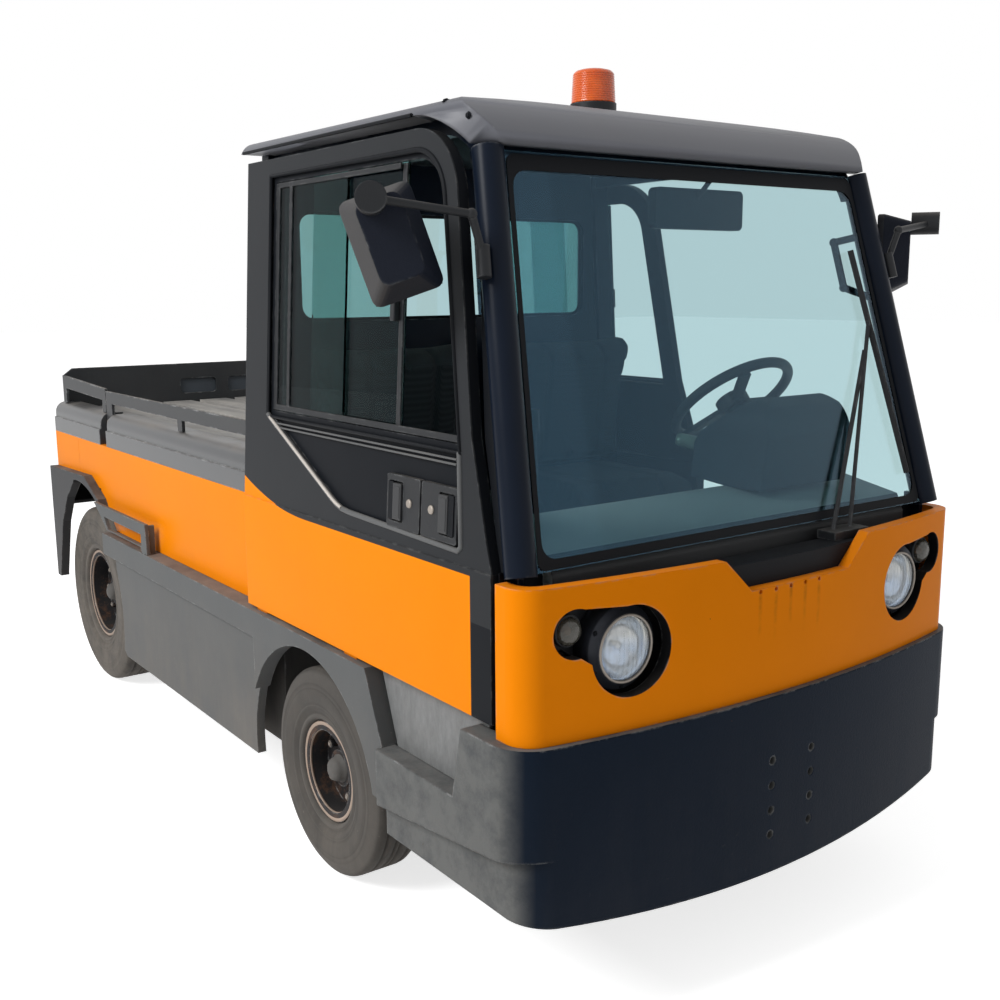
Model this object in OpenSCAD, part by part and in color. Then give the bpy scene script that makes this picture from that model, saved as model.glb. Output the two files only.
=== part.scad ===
// Electric tow tractor with a two-seat cab, sliding doors and a railed rear deck.
// Millimetres. +X is forward, +Y is the left side, +Z is up, the tyres stand on z = 0.
// Lengths along X are measured from the front axle; row() then centres the part on its length.

/* [Wheels] */
// Distance between the front and the rear axle
wheelbase = 1893; // [1800:1:2000]
// Diameter of a front tyre
front_tyre_d = 540; // [520:1:560]
// Width of a front tyre
front_tyre_w = 155; // [140:1:160]
// Flange diameter of a front rim
front_rim_d = 262; // [240:1:270]
// Diameter of a rear tyre
rear_tyre_d = 670; // [640:1:690]
// Width of a rear tyre
rear_tyre_w = 185; // [170:1:190]
// Flange diameter of a rear rim
rear_rim_d = 338; // [320:1:350]
// Distance between the middles of the front tyres
front_track = 1146; // [1130:1:1160]
// Distance between the middles of the rear tyres
rear_track = 1058; // [1045:1:1070]
// Running clearance round every turning shaft
shaft_gap = 0.3; // [0.2:0.05:0.4]

/* [Body] */
// Width over the side skirts
skirt_width = 1380; // [1370:1:1400]
// Width over the door skins
door_width = 1362; // [1352:1:1366]
// Width over the orange side panels of the rear body
panel_width = 1280; // [1270:1:1282]
// Height of the lower edge of skirts and bumper
skirt_bottom = 220; // [200:1:240]
// Height of the ledge that the doors slide along
ledge_z = 640; // [632:1:643]
// Front axle to the middle of the bumper face
nose_reach = 965; // [955:1:985]
// Rear axle to the rear end of the body
rear_overhang = 341; // [336:1:360]
// Radius of the bowed front, seen from above
front_bow_r = 3300; // [3000:10:3600]

/* [Cab] */
// Height of the middle of the roof
roof_top = 1875; // [1850:1:1900]
// Width over the roof
roof_width = 1272; // [1266:1:1280]
// Front axle to the rear face of the cab
cab_rear = -362; // [-372:1:-356]
// Inward lean of the door glass and the pillars, in degrees
tumblehome = 3.5; // [3.2:0.1:3.8]
// Radius of the front pillar tubes
pillar_r = 32; // [28:1:34]
// Thickness of window glass
glass_t = 6; // [4:1:8]

/* [Doors] */
// Thickness of a sliding door
door_t = 34; // [28:1:35]
// Height of the door's lower edge
door_bottom = 650; // [648:1:660]
// Height of the waist, where the door starts to lean inwards
waist_z = 950; // [940:1:960]
// How far a door slides back
door_travel = 760; // [700:1:760]

/* [Front] */
// Height of the joint between bumper and front panel
bumper_top = 627; // [615:1:635]
// Height of the front panel's upper edge
panel_top = 937; // [925:1:945]
// Distance between the headlamp middles
headlamp_pitch = 876; // [860:1:890]
// Height of the headlamp middles
headlamp_z = 789; // [780:1:800]
// Glass diameter of a headlamp
headlamp_d = 130; // [120:1:136]
// Sideways pitch of the coupling holes in the bumper
hitch_pitch_y = 128; // [120:1:136]
// Height pitch of the coupling holes in the bumper
hitch_pitch_z = 57; // [50:1:60]
// Diameter of the coupling holes
hitch_hole_d = 18; // [14:1:20]

/* [Deck] */
// Height of the joint between side panels and deck shoulders
shoulder_z = 939; // [930:1:945]
// Height of the shoulder tops
deck_edge_z = 1052; // [1045:1:1060]
// Height of the side rails
rail_top = 1130; // [1120:1:1140]
// Height of the rear board
board_top = 1158; // [1150:1:1170]
// Thickness of the rail plates
rail_t = 10; // [8:1:12]

/* [Steering] */
// Rim diameter of the steering wheel
steer_wheel_d = 340; // [320:1:360]
// Slope of the steering wheel, in degrees
steer_tilt = 40; // [37:1:43]
// Middle of the driver's place, to the left of the centre line
driver_y = 300; // [280:1:320]
// Distance between the kingpins
kingpin_pitch = 1000; // [990:1:1005]

/* [Hidden] */
$fn = 64;

orange = [1.0, 0.58, 0.02];
dark = [0.23, 0.25, 0.27];
black = [0.08, 0.08, 0.09];
glass_tint = [0.55, 0.68, 0.70, 0.35];
steel = [0.55, 0.55, 0.56];
rubber = [0.16, 0.15, 0.15];

skirt_y = skirt_width / 2;
door_y = door_width / 2;
panel_y = panel_width / 2;
rear_x = -wheelbase - rear_overhang;
// The coupling jaw is the rearmost point
coupling_out = 110;
x_mid = (nose_reach + rear_x - coupling_out) / 2;

front_r = front_tyre_d / 2;
rear_r = rear_tyre_d / 2;
front_arch_r = front_r + 65;
rear_arch_r = rear_r + 115;
kingpin_y = kingpin_pitch / 2;
rear_axle = -wheelbase;
// Foot of the windscreen pillars: the front of the cab keeps its distance from the nose
cab_front = nose_reach - 137;
door_rear = cab_rear + 22;
door_front = cab_front - 41;
// The roof's lip over the doors, and the lower edge of its drooped front
roof_edge = roof_top - 49;
roof_low = roof_edge - 64;

// Puts the middle of the part's length on the origin
module row() translate([-x_mid, 0, 0]) children();

// Copies a left-hand piece to the right-hand side
module both_sides() {
  children();
  mirror([0, 1, 0]) children();
}

// A plate drawn in side view (x, z), with its outer face at y_out
module side_plate(y_out, t) translate([0, y_out, 0]) rotate([90, 0, 0]) linear_extrude(t) children();

// A bar drawn in rear view (y, z), running along X from x0 to x1
module along_x(x0, x1) translate([x0, 0, 0]) rotate([90, 0, 90]) linear_extrude(x1 - x0) children();

module box(x0, x1, y0, y1, z0, z1) translate([x0, y0, z0]) cube([x1 - x0, y1 - y0, z1 - z0]);

// A round bar between two points
module rod(a, b, r) {
  d = b - a;
  translate(a) rotate([0, acos(d[2] / norm(d)), atan2(d[1], d[0])]) cylinder(r = r, h = norm(d));
}

// A square bar between two points
module bar(a, b, w) {
  d = b - a;
  translate(a) rotate([0, acos(d[2] / norm(d)), atan2(d[1], d[0])])
    translate([-w / 2, -w / 2, 0]) cube([w, w, norm(d)]);
}

// A rectangle with round corners, from exact arcs
module round_rect(x0, x1, y0, y1, r) {
  translate([x0 + r, y0]) square([x1 - x0 - 2 * r, y1 - y0]);
  translate([x0, y0 + r]) square([x1 - x0, y1 - y0 - 2 * r]);
  for (x = [x0 + r, x1 - r], y = [y0 + r, y1 - r]) translate([x, y]) circle(r);
}

// A plan outline with a bowed front and round corners that run tangent into the bow
module bow_plan(nose, half_w, bow_r, corner_r, back) {
  corner_y = half_w - corner_r;
  corner_x = nose - bow_r + sqrt(pow(bow_r - corner_r, 2) - pow(corner_y, 2));
  tangent_y = corner_y * bow_r / (bow_r - corner_r);
  front_x = max(corner_x, back);
  intersection() {
    translate([nose - bow_r, 0]) circle(bow_r, $fn = 360);
    translate([back, -tangent_y]) square([nose - back + 1, 2 * tangent_y]);
  }
  for (s = [-1, 1]) intersection() {
    translate([corner_x, s * corner_y]) circle(corner_r);
    translate([back, -half_w]) square([nose - back + 1, 2 * half_w]);
  }
  if (corner_x > back) translate([back, -half_w]) square([front_x - back, 2 * half_w]);
}

// Gap between pieces that rest on each other
seat_gap = 0.3;

// Chassis: a battery tray between the axles, narrow rails in front of it and behind it
tray_front = cab_rear + 62;
tray_rear = rear_axle + 393;
tray_y = 600;
tray_wall = 40;
tray_floor_z = 235;
front_rail_y = 290;
rear_rail_y = 390;
rail_w = 60;
front_rail_z = 345;
rear_rail_z = 470;
frame_top = 600;
bumper_t = 110;
rail_end = nose_reach - bumper_t - front_bow_r + sqrt(pow(front_bow_r, 2) - pow(front_rail_y, 2)) - seat_gap;

module chassis_frame() color(black) {
  difference() {
    box(tray_rear, tray_front, -tray_y, tray_y, tray_floor_z, frame_top);
    box(tray_rear + tray_wall, tray_front - tray_wall, -tray_y + tray_wall, tray_y - tray_wall,
        tray_floor_z + 20, frame_top + 1);
  }
  both_sides() {
    box(tray_front, rail_end, front_rail_y - rail_w, front_rail_y, front_rail_z, frame_top);
    box(rear_x + 60, tray_rear, rear_rail_y - rail_w, rear_rail_y, rear_rail_z, frame_top);
  }
  box(rear_x + 60, rear_x + 100, -rear_rail_y, rear_rail_y, 330, frame_top);
  box(cab_front - 68, cab_front - 28, -560, 560, front_rail_z, frame_top - 40);
}

module battery_block() color([0.2, 0.22, 0.25])
  box(tray_rear + 60, tray_front - 90, -tray_y + 60, tray_y - 60, tray_floor_z + 20, shoulder_z - 39);

// Rear axle with its motor and wheel stubs
rear_hub_y = rear_track / 2;
module drive_unit() color([0.25, 0.25, 0.26]) {
  translate([rear_axle, 0, rear_r]) {
    rotate([90, 0, 0]) cylinder(r = 55, h = 2 * (rear_hub_y - 100), center = true);
    rotate([90, 0, 0]) cylinder(r = 110, h = 260, center = true);
    rotate([90, 0, 0]) cylinder(r = 28, h = 2 * (rear_hub_y + 25), center = true);
    both_sides() translate([-50, 330, 0]) cube([100, 60, rear_rail_z - rear_r]);
  }
}

// Front axle beam with a kingpin eye at each end
eye_h = 110;
eye_r = 34;
kingpin_r = 20;
module front_axle() color(black) {
  difference() {
    translate([0, 0, front_r]) {
      box(-45, 45, -kingpin_y, kingpin_y, -38, 38);
      both_sides() translate([0, kingpin_y, 0]) cylinder(r = eye_r, h = eye_h, center = true);
      both_sides() box(-40, 40, front_rail_y - rail_w, front_rail_y, 37, front_rail_z - front_r);
    }
    both_sides() translate([0, kingpin_y, 0]) cylinder(r = kingpin_r + shaft_gap, h = 2 * front_r);
  }
}

// Steering knuckle: yoke round the eye, kingpin and wheel stub, drawn for the left side
yoke_gap = 3;
yoke_t = 16;
stub_r = 22;
front_hub_y = front_track / 2;
module knuckle() color(black) translate([0, 0, front_r]) {
  yoke_y = kingpin_y + eye_r + 6;
  translate([0, kingpin_y, 0]) cylinder(r = kingpin_r, h = eye_h + 2 * (yoke_gap + yoke_t), center = true);
  for (s = [-1, 1]) translate([0, kingpin_y, s * (eye_h / 2 + yoke_gap + yoke_t / 2)]) {
    cylinder(r = eye_r, h = yoke_t, center = true);
    translate([-eye_r, 0, -yoke_t / 2]) cube([2 * eye_r, yoke_y - kingpin_y + 14, yoke_t]);
  }
  box(-eye_r, eye_r, yoke_y, yoke_y + 14, -eye_h / 2 - yoke_gap - yoke_t, eye_h / 2 + yoke_gap + yoke_t);
  translate([0, yoke_y, 0]) rotate([-90, 0, 0]) cylinder(r = stub_r, h = front_hub_y + 40 - yoke_y);
}

// Tyre section about the wheel's own axis: radius along x, width along y
module tyre_section(od, w, rim_d) {
  r = od / 2;
  bead = rim_d / 2 - 16 + seat_gap;
  lip = 0.33 - seat_gap / w;
  side = [[bead, lip], [rim_d / 2 + 1, lip], [rim_d / 2 + 14, 0.45],
          [(bead + r) / 2 + 8, 0.5], [r - 42, 0.49],
          [r - 18, 0.455], [r - 4, 0.40]];
  groove = 8;
  half = concat([for (p = side) [p[0], p[1] * w]],
    [for (g = [0.24, 0.06]) each [[r, g * w + 9], [r - groove, g * w + 6],
       [r - groove, g * w - 1], [r, g * w - 4]]]);
  polygon(concat(half, [for (i = [len(half) - 1 : -1 : 0]) [half[i][0], -half[i][1]]]));
}

module tyre(x, y, od, w, rim_d) color(rubber) translate([x, y, od / 2]) rotate([90, 0, 0])
  rotate_extrude($fn = 96) tyre_section(od, w, rim_d);

// Pressed steel rim: barrel with two flanges, deep disc, hub boss and wheel nuts, outer face towards +Y
module rim(x, y, od, rim_d, width, bore_r, nuts) color([0.32, 0.28, 0.25]) translate([x, y, od / 2]) {
  flange_r = rim_d / 2;
  seat_r = flange_r - 16;
  disc_y = -2;
  hub_r = bore_r + 26;
  nut_ring = (hub_r + seat_r - 10) / 2;
  rotate([-90, 0, 0]) rotate_extrude($fn = 96) {
    translate([seat_r - 8, -width / 2]) square([8, width]);
    for (s = [-1, 1]) translate([seat_r - 8, s * width / 2 - 4]) square([flange_r - seat_r + 8, 8]);
    translate([bore_r, disc_y - 5]) square([seat_r - bore_r - 4, 10]);
    translate([bore_r, disc_y - 15]) square([hub_r - bore_r, 42]);
  }
  for (i = [0 : nuts - 1]) rotate([0, i * 360 / nuts, 0]) translate([nut_ring, disc_y + 4, 0])
    rotate([-90, 0, 0]) cylinder(r = 12, h = 18, $fn = 6);
}

module tyre_front(s) tyre(0, s * front_hub_y, front_tyre_d, front_tyre_w, front_rim_d);
module tyre_rear(s) tyre(rear_axle, s * rear_hub_y, rear_tyre_d, rear_tyre_w, rear_rim_d);
module rim_front() rim(0, front_hub_y, front_tyre_d, front_rim_d,
  front_tyre_w * 0.66 + 8, stub_r + shaft_gap, 5);
module rim_rear() rim(rear_axle, rear_hub_y, rear_tyre_d, rear_rim_d,
  rear_tyre_w * 0.66 + 8, 28 + shaft_gap, 8);

// Cab floor over the front wheels
module cab_floor() color(black) box(cab_rear + 32, cab_front - 38, -630, 630, frame_top, ledge_z - 2);

// Bumper casting: its upper part wraps the corners, its lower part is narrower on the sides
wrap_out = 15;
side_rear = front_arch_r + 37;
crease_rear = skirt_bottom + 118;
crease_front = skirt_bottom + 178;
step_z = skirt_bottom + 252;
step_top_rear = side_rear - 68;
step_rear = side_rear + 4;
step_front = nose_reach - 285;
step_top_front = nose_reach - 241;
step_depth = 45;
// The lower edge of the bumper rises towards the corners
lower_bow_r = 5500;
module crease_zone() polygon([[0, crease_rear], [side_rear, crease_rear], [nose_reach - 85, crease_front],
  [nose_reach + 1, crease_front], [nose_reach + 1, bumper_top], [0, bumper_top]]);
module below_crease() polygon([[0, skirt_bottom], [0, crease_rear], [side_rear, crease_rear],
  [nose_reach - 85, crease_front], [nose_reach + 1, crease_front], [nose_reach + 1, skirt_bottom]]);
module bumper_ring(half_w, corner_r) difference() {
  bow_plan(nose_reach, half_w, front_bow_r, corner_r, side_rear);
  bow_plan(nose_reach - bumper_t, half_w - 50, front_bow_r, 40, 0);
}
hitch_rows = 4;
hitch_low = skirt_bottom + 90;
module front_bumper() color(dark) difference() {
  union() {
    intersection() {
      linear_extrude(bumper_top) bumper_ring(skirt_y + wrap_out, 95);
      side_plate(skirt_y + 100, 2 * skirt_y + 200) crease_zone();
    }
    intersection() {
      linear_extrude(bumper_top) bumper_ring(skirt_y - 10, 85);
      side_plate(skirt_y + 100, 2 * skirt_y + 200) below_crease();
      front_cut(0, nose_reach + 10)
        translate([0, skirt_bottom + lower_bow_r]) circle(lower_bow_r, $fn = 360);
    }
  }
  both_sides() side_plate(skirt_y + 100, 100 + step_depth)
    polygon([[step_top_rear - 200, bumper_top + 50], [step_rear - 200, step_z], [step_front, step_z],
             [step_top_front, bumper_top + 50]]);
  for (s = [-1, 1], i = [0 : hitch_rows - 1])
    translate([nose_reach - bumper_t - 20, s * hitch_pitch_y / 2, hitch_low + i * hitch_pitch_z])
      rotate([0, 90, 0]) cylinder(d = hitch_hole_d, h = bumper_t + 40);
}

// Grey panel in the step recess behind the bumper's side arm
module step_panels() color([0.5, 0.52, 0.53]) both_sides() side_plate(skirt_y + wrap_out - 50 - seat_gap, 8)
  polygon([[step_top_rear + 22, ledge_z - 4], [step_rear + 22, step_z - 30], [step_front + 20, step_z - 30],
           [step_top_front + 20, ledge_z - 4]]);

// Orange front panel with lamp openings and the wiper notch
panel_t = 28;
panel_nose = nose_reach - 14;
panel_back = cab_front - 28;
indicator_y = door_y - 117;
indicator_z = headlamp_z + 52;
notch_y = 30;
notch_depth = 72;
drain_d = 9;
lamp_r = headlamp_d / 2 + 28;
small_r = 50;
module lamp_outline(grow) {
  c1 = [headlamp_pitch / 2, headlamp_z];
  c2 = [indicator_y, indicator_z];
  d = c2 - c1;
  tilt = atan2(d[1], d[0]);
  spread = acos((lamp_r - small_r) / norm(d));
  top = [cos(tilt + spread), sin(tilt + spread)];
  translate(c1) circle(lamp_r + grow);
  translate(c2) circle(small_r + grow);
  polygon([c1, c1 + (lamp_r + grow - 2) * top, c2 + (small_r + grow - 2) * top,
    c2, c2 + [-8, 2 - small_r - grow],
           c1 + [lamp_r * 0.86, -22 - grow]]);
}
// Drawn in front view: y to the right, z up, cut along X
module front_cut(x0, x1) translate([x0, 0, 0]) rotate([90, 0, 90]) linear_extrude(x1 - x0) children();
module front_panel() color(orange) difference() {
  translate([0, 0, bumper_top + seat_gap]) linear_extrude(panel_top - bumper_top - seat_gap) difference() {
    bow_plan(panel_nose, door_y, front_bow_r, 60, panel_back);
    bow_plan(panel_nose - panel_t, door_y - panel_t, front_bow_r, 40, 0);
  }
  both_sides() front_cut(panel_back + 30, nose_reach + 10) lamp_outline(0);
  front_cut(panel_back + 20, nose_reach + 10)
    polygon([[notch_y - 236, panel_top + 1], [notch_y - 160, panel_top - notch_depth],
             [notch_y + 160, panel_top - notch_depth], [notch_y + 236, panel_top + 1]]);
  for (i = [-2 : 2]) translate([panel_back, notch_y - 40 + i * 47, panel_top - notch_depth - 6])
    rotate([0, 90, 0]) cylinder(d = drain_d, h = nose_reach - panel_back, $fn = 24);
}

// Black pods behind the lamp openings, with the lamps set into them
pod_x = panel_nose - 108;
pod_t = 20;
module lamp_pods() color(black) both_sides() front_cut(pod_x - pod_t, pod_x) lamp_outline(-2);
module lamp(y, z, r, reach, ring) translate([pod_x, y, z]) rotate([0, 90, 0]) {
  rotate_extrude() {
    square([r, reach - 12]);
    translate([0, reach - 12]) square([r - 4, 8]);
    if (ring > 0) translate([r, reach - 30]) square([ring, 12]);
  }
  intersection() {
    translate([0, 0, reach - 5 - 2 * r]) sphere(2 * r);
    cylinder(r = r - 4, h = reach);
  }
}
module headlamps() color([0.85, 0.88, 0.9]) both_sides()
  lamp(headlamp_pitch / 2, headlamp_z, headlamp_d / 2, 68, 22);
module indicators() color([0.8, 0.75, 0.7]) both_sides() lamp(indicator_y, indicator_z, 32, 50, 0);

// Side skirt with its ledge, drawn for the left side
band_z = ledge_z - 75;
skirt_front = side_rear;
skirt_rear = rear_axle + 333;
ledge_in = panel_y - 40;
module front_arch() translate([0, front_r]) circle(front_arch_r, $fn = 180);
module rear_arch() translate([rear_axle + 15, rear_r]) circle(rear_arch_r, $fn = 180);
module skirt() color(dark) {
  difference() {
    side_plate(skirt_y, skirt_y - panel_y - 6) polygon([[skirt_rear, band_z], [skirt_front, crease_rear],
      [skirt_front, step_z], [step_rear, step_z], [step_top_rear, ledge_z], [skirt_rear, ledge_z]]);
    side_plate(skirt_y + 1, 200) front_arch();
    side_plate(skirt_y + 1, 200) polygon([[skirt_rear - 1, band_z], [tray_front, band_z], [tray_front, 0],
      [skirt_rear - 1, 0]]);
  }
  box(skirt_rear, cab_rear - 4, tray_y + seat_gap, skirt_y - 20, frame_top, ledge_z);
  difference() {
    side_plate(skirt_y - 14, 24) polygon([[skirt_rear + 90, band_z], [skirt_rear + 90, skirt_bottom + 110],
      [skirt_rear + 120, skirt_bottom + 20], [skirt_rear + 150, skirt_bottom],
      [tray_front + 50, skirt_bottom],
      [tray_front + 50, band_z]]);
    side_plate(skirt_y + 1, 200) front_arch();
    side_plate(skirt_y + 1, 200) rear_arch();
  }
}

// Rear fenders with the flat flare over the wheel
fender_y = panel_y + 32;
module rear_fenders() color(dark) both_sides() difference() {
  side_plate(fender_y, fender_y - panel_y - seat_gap)
    polygon([[rear_x, rear_r + 20], [rear_x, ledge_z + 160],
    [rear_axle + 93, ledge_z + 172], [rear_axle + 243, ledge_z + 105],
    [skirt_rear, ledge_z], [skirt_rear, band_z],
    [rear_axle + 253, band_z], [rear_axle - 107, rear_r + 20]]);
  side_plate(skirt_y + 1, 200) intersection() {
    rear_arch();
    polygon([[rear_x + 36, 200], [rear_x + 41, rear_r + 33], [rear_axle - 219, rear_r + 255],
      [rear_axle - 137, rear_r + 364], [rear_axle - 47, rear_r + 433], [rear_axle + 13, rear_r + 565],
      [rear_axle + 493, rear_r + 565], [rear_axle + 493, 200]]);
  }
}

// Guard frames on the ledge where the sliding doors stop
guard_front = door_rear - door_travel - 18;
guard_rear = guard_front - 522;
module door_guards() color(dark) both_sides() {
  difference() {
    side_plate(skirt_y - 2, 12) polygon([[guard_rear, ledge_z + 100], [guard_front, ledge_z + 100],
      [guard_front + 10, ledge_z], [guard_front - 40, ledge_z], [guard_front - 48, ledge_z + 18],
      [guard_rear + 130, ledge_z + 18], [guard_rear + 60, ledge_z + 65]]);
    side_plate(skirt_y + 1, 40) polygon([[guard_rear + 105, ledge_z + 62], [guard_front - 42, ledge_z + 62],
      [guard_front - 42, ledge_z + 22], [guard_rear + 140, ledge_z + 22]]);
  }
  box(guard_front - 12, guard_front, skirt_y - 34, skirt_y - 13, ledge_z, ledge_z + 95);
}

// Orange side panels of the rear body
seam_x = rear_axle - 47;
module side_panels() color(orange) both_sides() difference() {
  side_plate(panel_y, 36)
    polygon([[seam_x + 2, ledge_z + 1], [cab_rear - 8, ledge_z + 1], [cab_rear - 8, shoulder_z],
    [seam_x + 2, shoulder_z]]);
  side_plate(panel_y + 1, 200) rear_arch();
}

// Rear cover: wraps the rear corners, with a recess for the coupling
module rear_cover() color(orange) difference() {
  union() {
    box(rear_x, rear_x + 40, -panel_y, panel_y, ledge_z, shoulder_z);
    both_sides() side_plate(panel_y, 36) polygon([[rear_x, ledge_z], [seam_x, ledge_z], [seam_x, shoulder_z],
      [rear_x, shoulder_z]]);
    box(rear_x, rear_x + 40, -panel_y, panel_y, 330, ledge_z + 1);
  }
  both_sides() side_plate(panel_y + 1, 200) rear_arch();
  both_sides() box(rear_x - 1, rear_x + 41, 420, panel_y + 1, 300, ledge_z);
  box(rear_x - 1, rear_x + 60, -110, 110, 300, 520);
}

// Black deck shoulders with a ridge and a round top edge
shoulder_in = 550;
module shoulder_profile() {
  step_y = panel_y - 6;
  translate([shoulder_in, shoulder_z]) square([panel_y - shoulder_in, 56]);
  translate([shoulder_in, shoulder_z]) square([step_y - 40 - shoulder_in, deck_edge_z - shoulder_z]);
  translate([shoulder_in, shoulder_z]) square([step_y - shoulder_in, deck_edge_z - 40 - shoulder_z]);
  translate([step_y - 40, deck_edge_z - 40]) circle(40);
}
post_x = rear_axle + 253;
module deck_shoulders() color(black) both_sides() {
  along_x(rear_x, post_x - 36) shoulder_profile();
  along_x(post_x + 36, cab_rear - 6) shoulder_profile();
}

// Slatted deck over the battery
slats = 7;
slat_w = 118;
deck_z = deck_edge_z - 22;
module deck_plate() color([0.35, 0.35, 0.35]) {
  box(rear_x + 42, cab_rear - 6, -shoulder_in, shoulder_in, shoulder_z, deck_z - 12);
  for (i = [0 : slats - 1]) {
    y = -shoulder_in + 20 + i * (2 * shoulder_in - 40 - slat_w) / (slats - 1);
    box(rear_x + 60, cab_rear - 30, y, y + slat_w, deck_z - 13, deck_z);
  }
}

// Side rails and rear board round the deck
rail_y = 610;
module deck_rails() color(dark) {
  both_sides() {
    side_plate(rail_y, rail_t) {
      polygon([[post_x, rail_top - 42], [cab_rear - 20, rail_top - 42],
      [cab_rear - 20, rail_top], [post_x, rail_top]]);
      polygon([[post_x - 30, shoulder_z + 10], [post_x + 30, shoulder_z + 10], [post_x + 30, rail_top],
               [post_x - 30, rail_top]]);
      for (x = [cab_rear - 620, cab_rear - 60]) translate([x, deck_edge_z + 0.2])
        square([38, rail_top - deck_edge_z - 20]);
    }
    side_plate(rail_y, rail_t) difference() {
      polygon([[rear_x + 40, deck_edge_z + 0.2], [post_x - 37, deck_edge_z + 0.2],
      [post_x - 37, board_top - 20],
               [rear_x + 40, board_top]]);
      polygon([[rear_x + 80, deck_edge_z - 3], [post_x - 74, deck_edge_z - 3], [post_x - 74, board_top - 62],
               [rear_x + 80, board_top - 48]]);
    }
  }
  difference() {
    front_cut(rear_x + 44, rear_x + 44 + rail_t) polygon([[-rail_y + 1, deck_edge_z + 0.2],
      [-shoulder_in + 2, deck_edge_z + 0.2], [-shoulder_in + 2, deck_z - 12 + seat_gap],
      [shoulder_in - 2, deck_z - 12 + seat_gap], [shoulder_in - 2, deck_edge_z + 0.2],
      [rail_y - 1, deck_edge_z + 0.2],
      [rail_y - 1, board_top], [rail_y - 36, board_top + 26], [36 - rail_y, board_top + 26],
      [1 - rail_y, board_top]]);
    front_cut(rear_x, rear_x + 200) for (y = [-136, 73])
      round_rect(y, y + 157, board_top - 97, board_top - 37, 16);
  }
}

module rear_lamps() color([0.6, 0.05, 0.04]) both_sides() front_cut(rear_x - 14, rear_x)
  round_rect(panel_y - 210, panel_y - 80, ledge_z + 50, ledge_z + 120, 12);

// Tow coupling: bolted plate, two jaws and a pin
module tow_coupling() color([0.18, 0.18, 0.19]) {
  box(rear_x + 40 + seat_gap, rear_x + 60, -150, 150, 335, 560);
  difference() {
    union() {
      for (z = [360, 460]) {
        box(rear_x - coupling_out + 60, rear_x + 41, -60, 60, z, z + 30);
        translate([rear_x - coupling_out + 60, 0, z]) cylinder(r = 60, h = 30);
      }
      box(rear_x + 11, rear_x + 41, -60, 60, 360, 490);
    }
    translate([rear_x - coupling_out + 60, 0, 300]) cylinder(d = 38 + 0.5, h = 300);
  }
}

// Door outline in side view; the upper part is drawn along the leaning plane, from the waist up
door_waist_front = door_front - 42;
door_top = roof_edge - 24;
lean_len = (door_top - waist_z) / cos(tumblehome);
corner_r = 158;
// The front edge of the upper part bends back over the waist, then follows a straight rake
rake = 0.17;
rake_len = sqrt(1 + rake * rake);
function edge_x(v) = door_waist_front - rake * v;
// Middle of the round upper corner, which the cab frame and the roof follow
bend = [edge_x(lean_len - corner_r) - corner_r * rake_len, lean_len - corner_r];
bend_z = waist_z + bend[1] * cos(tumblehome);
// A corner between the raked front edge and the top: a chamfer with its inscribed circle
module raked_corner(low_points, rear, top, inset, r) {
  c = [edge_x(top - r) - inset - r * rake_len, top - r];
  polygon(concat(low_points, [c + r * [1, rake] / rake_len, [c[0], top], [rear, top]]));
  translate(c) circle(r);
}
sink = 22;
module upper_outline() raked_corner([[door_rear + 2, -sink], [door_front - 2, -sink], [door_front - 2, 2],
  [door_front - 25, 64], [door_front - 55, 160], [edge_x(250), 250]], door_rear + 2, lean_len, 0, corner_r);
win_low = 236;
win_rear = door_rear + 155;
win_inset = 58;
module window_outline(grow) raked_corner([[win_rear - grow, win_low - grow],
  [edge_x(win_low - grow) - win_inset + grow, win_low - grow]], win_rear - grow, lean_len - win_inset + grow,
  win_inset - grow, corner_r - win_inset + grow);
module lean(y) translate([0, y, waist_z]) rotate([tumblehome, 0, 0]) children();
upper_t = 26;
module panel_recess() polygon([[win_rear - 16, win_low + 1], [win_rear + 375, 38],
  [door_waist_front - 62, 26],
  [edge_x(win_low) - win_inset + 16, win_low + 1]]);

waist_step = 3;
module door() color(orange) {
  side_plate(door_y, door_t)
    polygon([[door_rear, door_bottom], [door_front, door_bottom], [door_front, waist_z],
    [door_rear, waist_z]]);
  for (x = [door_rear + 40, door_rear + 520])
    box(x, x + 60, door_y - 26, door_y - 8, ledge_z + seat_gap, door_bottom + 1);
  lean(door_y - waist_step) difference() {
    side_plate(0, upper_t) upper_outline();
    side_plate(1, upper_t + 2) window_outline(0);
    side_plate(1, 9) {
      window_outline(16);
      panel_recess();
    }
  }
}

// Two sliding panes in each door, the front one pushed back as in use
pane_split = win_rear + 245;
pane_front = door_front - 372;
module door_glass() color(glass_tint) lean(door_y - waist_step) {
  intersection() {
    side_plate(-10, glass_t) window_outline(-seat_gap);
    box(win_rear, pane_split + 110, -100, 100, 0, lean_len);
  }
  intersection() {
    side_plate(-10 - glass_t - 1, glass_t) window_outline(-seat_gap);
    box(pane_split - 60, pane_front, -100, 100, 0, lean_len);
  }
}

// Two recessed paddle latches low in the front of the door
module door_latches() color(black) lean(door_y - waist_step) for (i = [0, 1])
  translate([door_front - 385 + i * 136, 0, 0]) difference() {
    side_plate(4, 11.9) round_rect(0, 130, 36, 150, 6);
    side_plate(5, 8) round_rect(i == 0 ? 10 : 66, i == 0 ? 64 : 120, 50, 136, 4);
  }

// Cab frame: front pillars, rear pillars, arched roof rails, header and a grab handle for the driver
pillar_low = [cab_front, door_y - 41, panel_top + 10];
pillar_high = [cab_front - 204, door_y - 118, roof_low - 9];
function pillar_at(z) = pillar_low + (pillar_high - pillar_low)
  * (z - pillar_low[2]) / (pillar_high[2] - pillar_low[2]);
rear_pillar_y = door_y - 49;
frame_len = (roof_edge - seat_gap - waist_z) / cos(tumblehome);
header_r = 24;
header_x = bend[0] + (roof_edge - bend_z - header_r - seat_gap) * sin(50);
header_z = bend_z + (roof_edge - bend_z - header_r - seat_gap) * cos(50);
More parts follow.
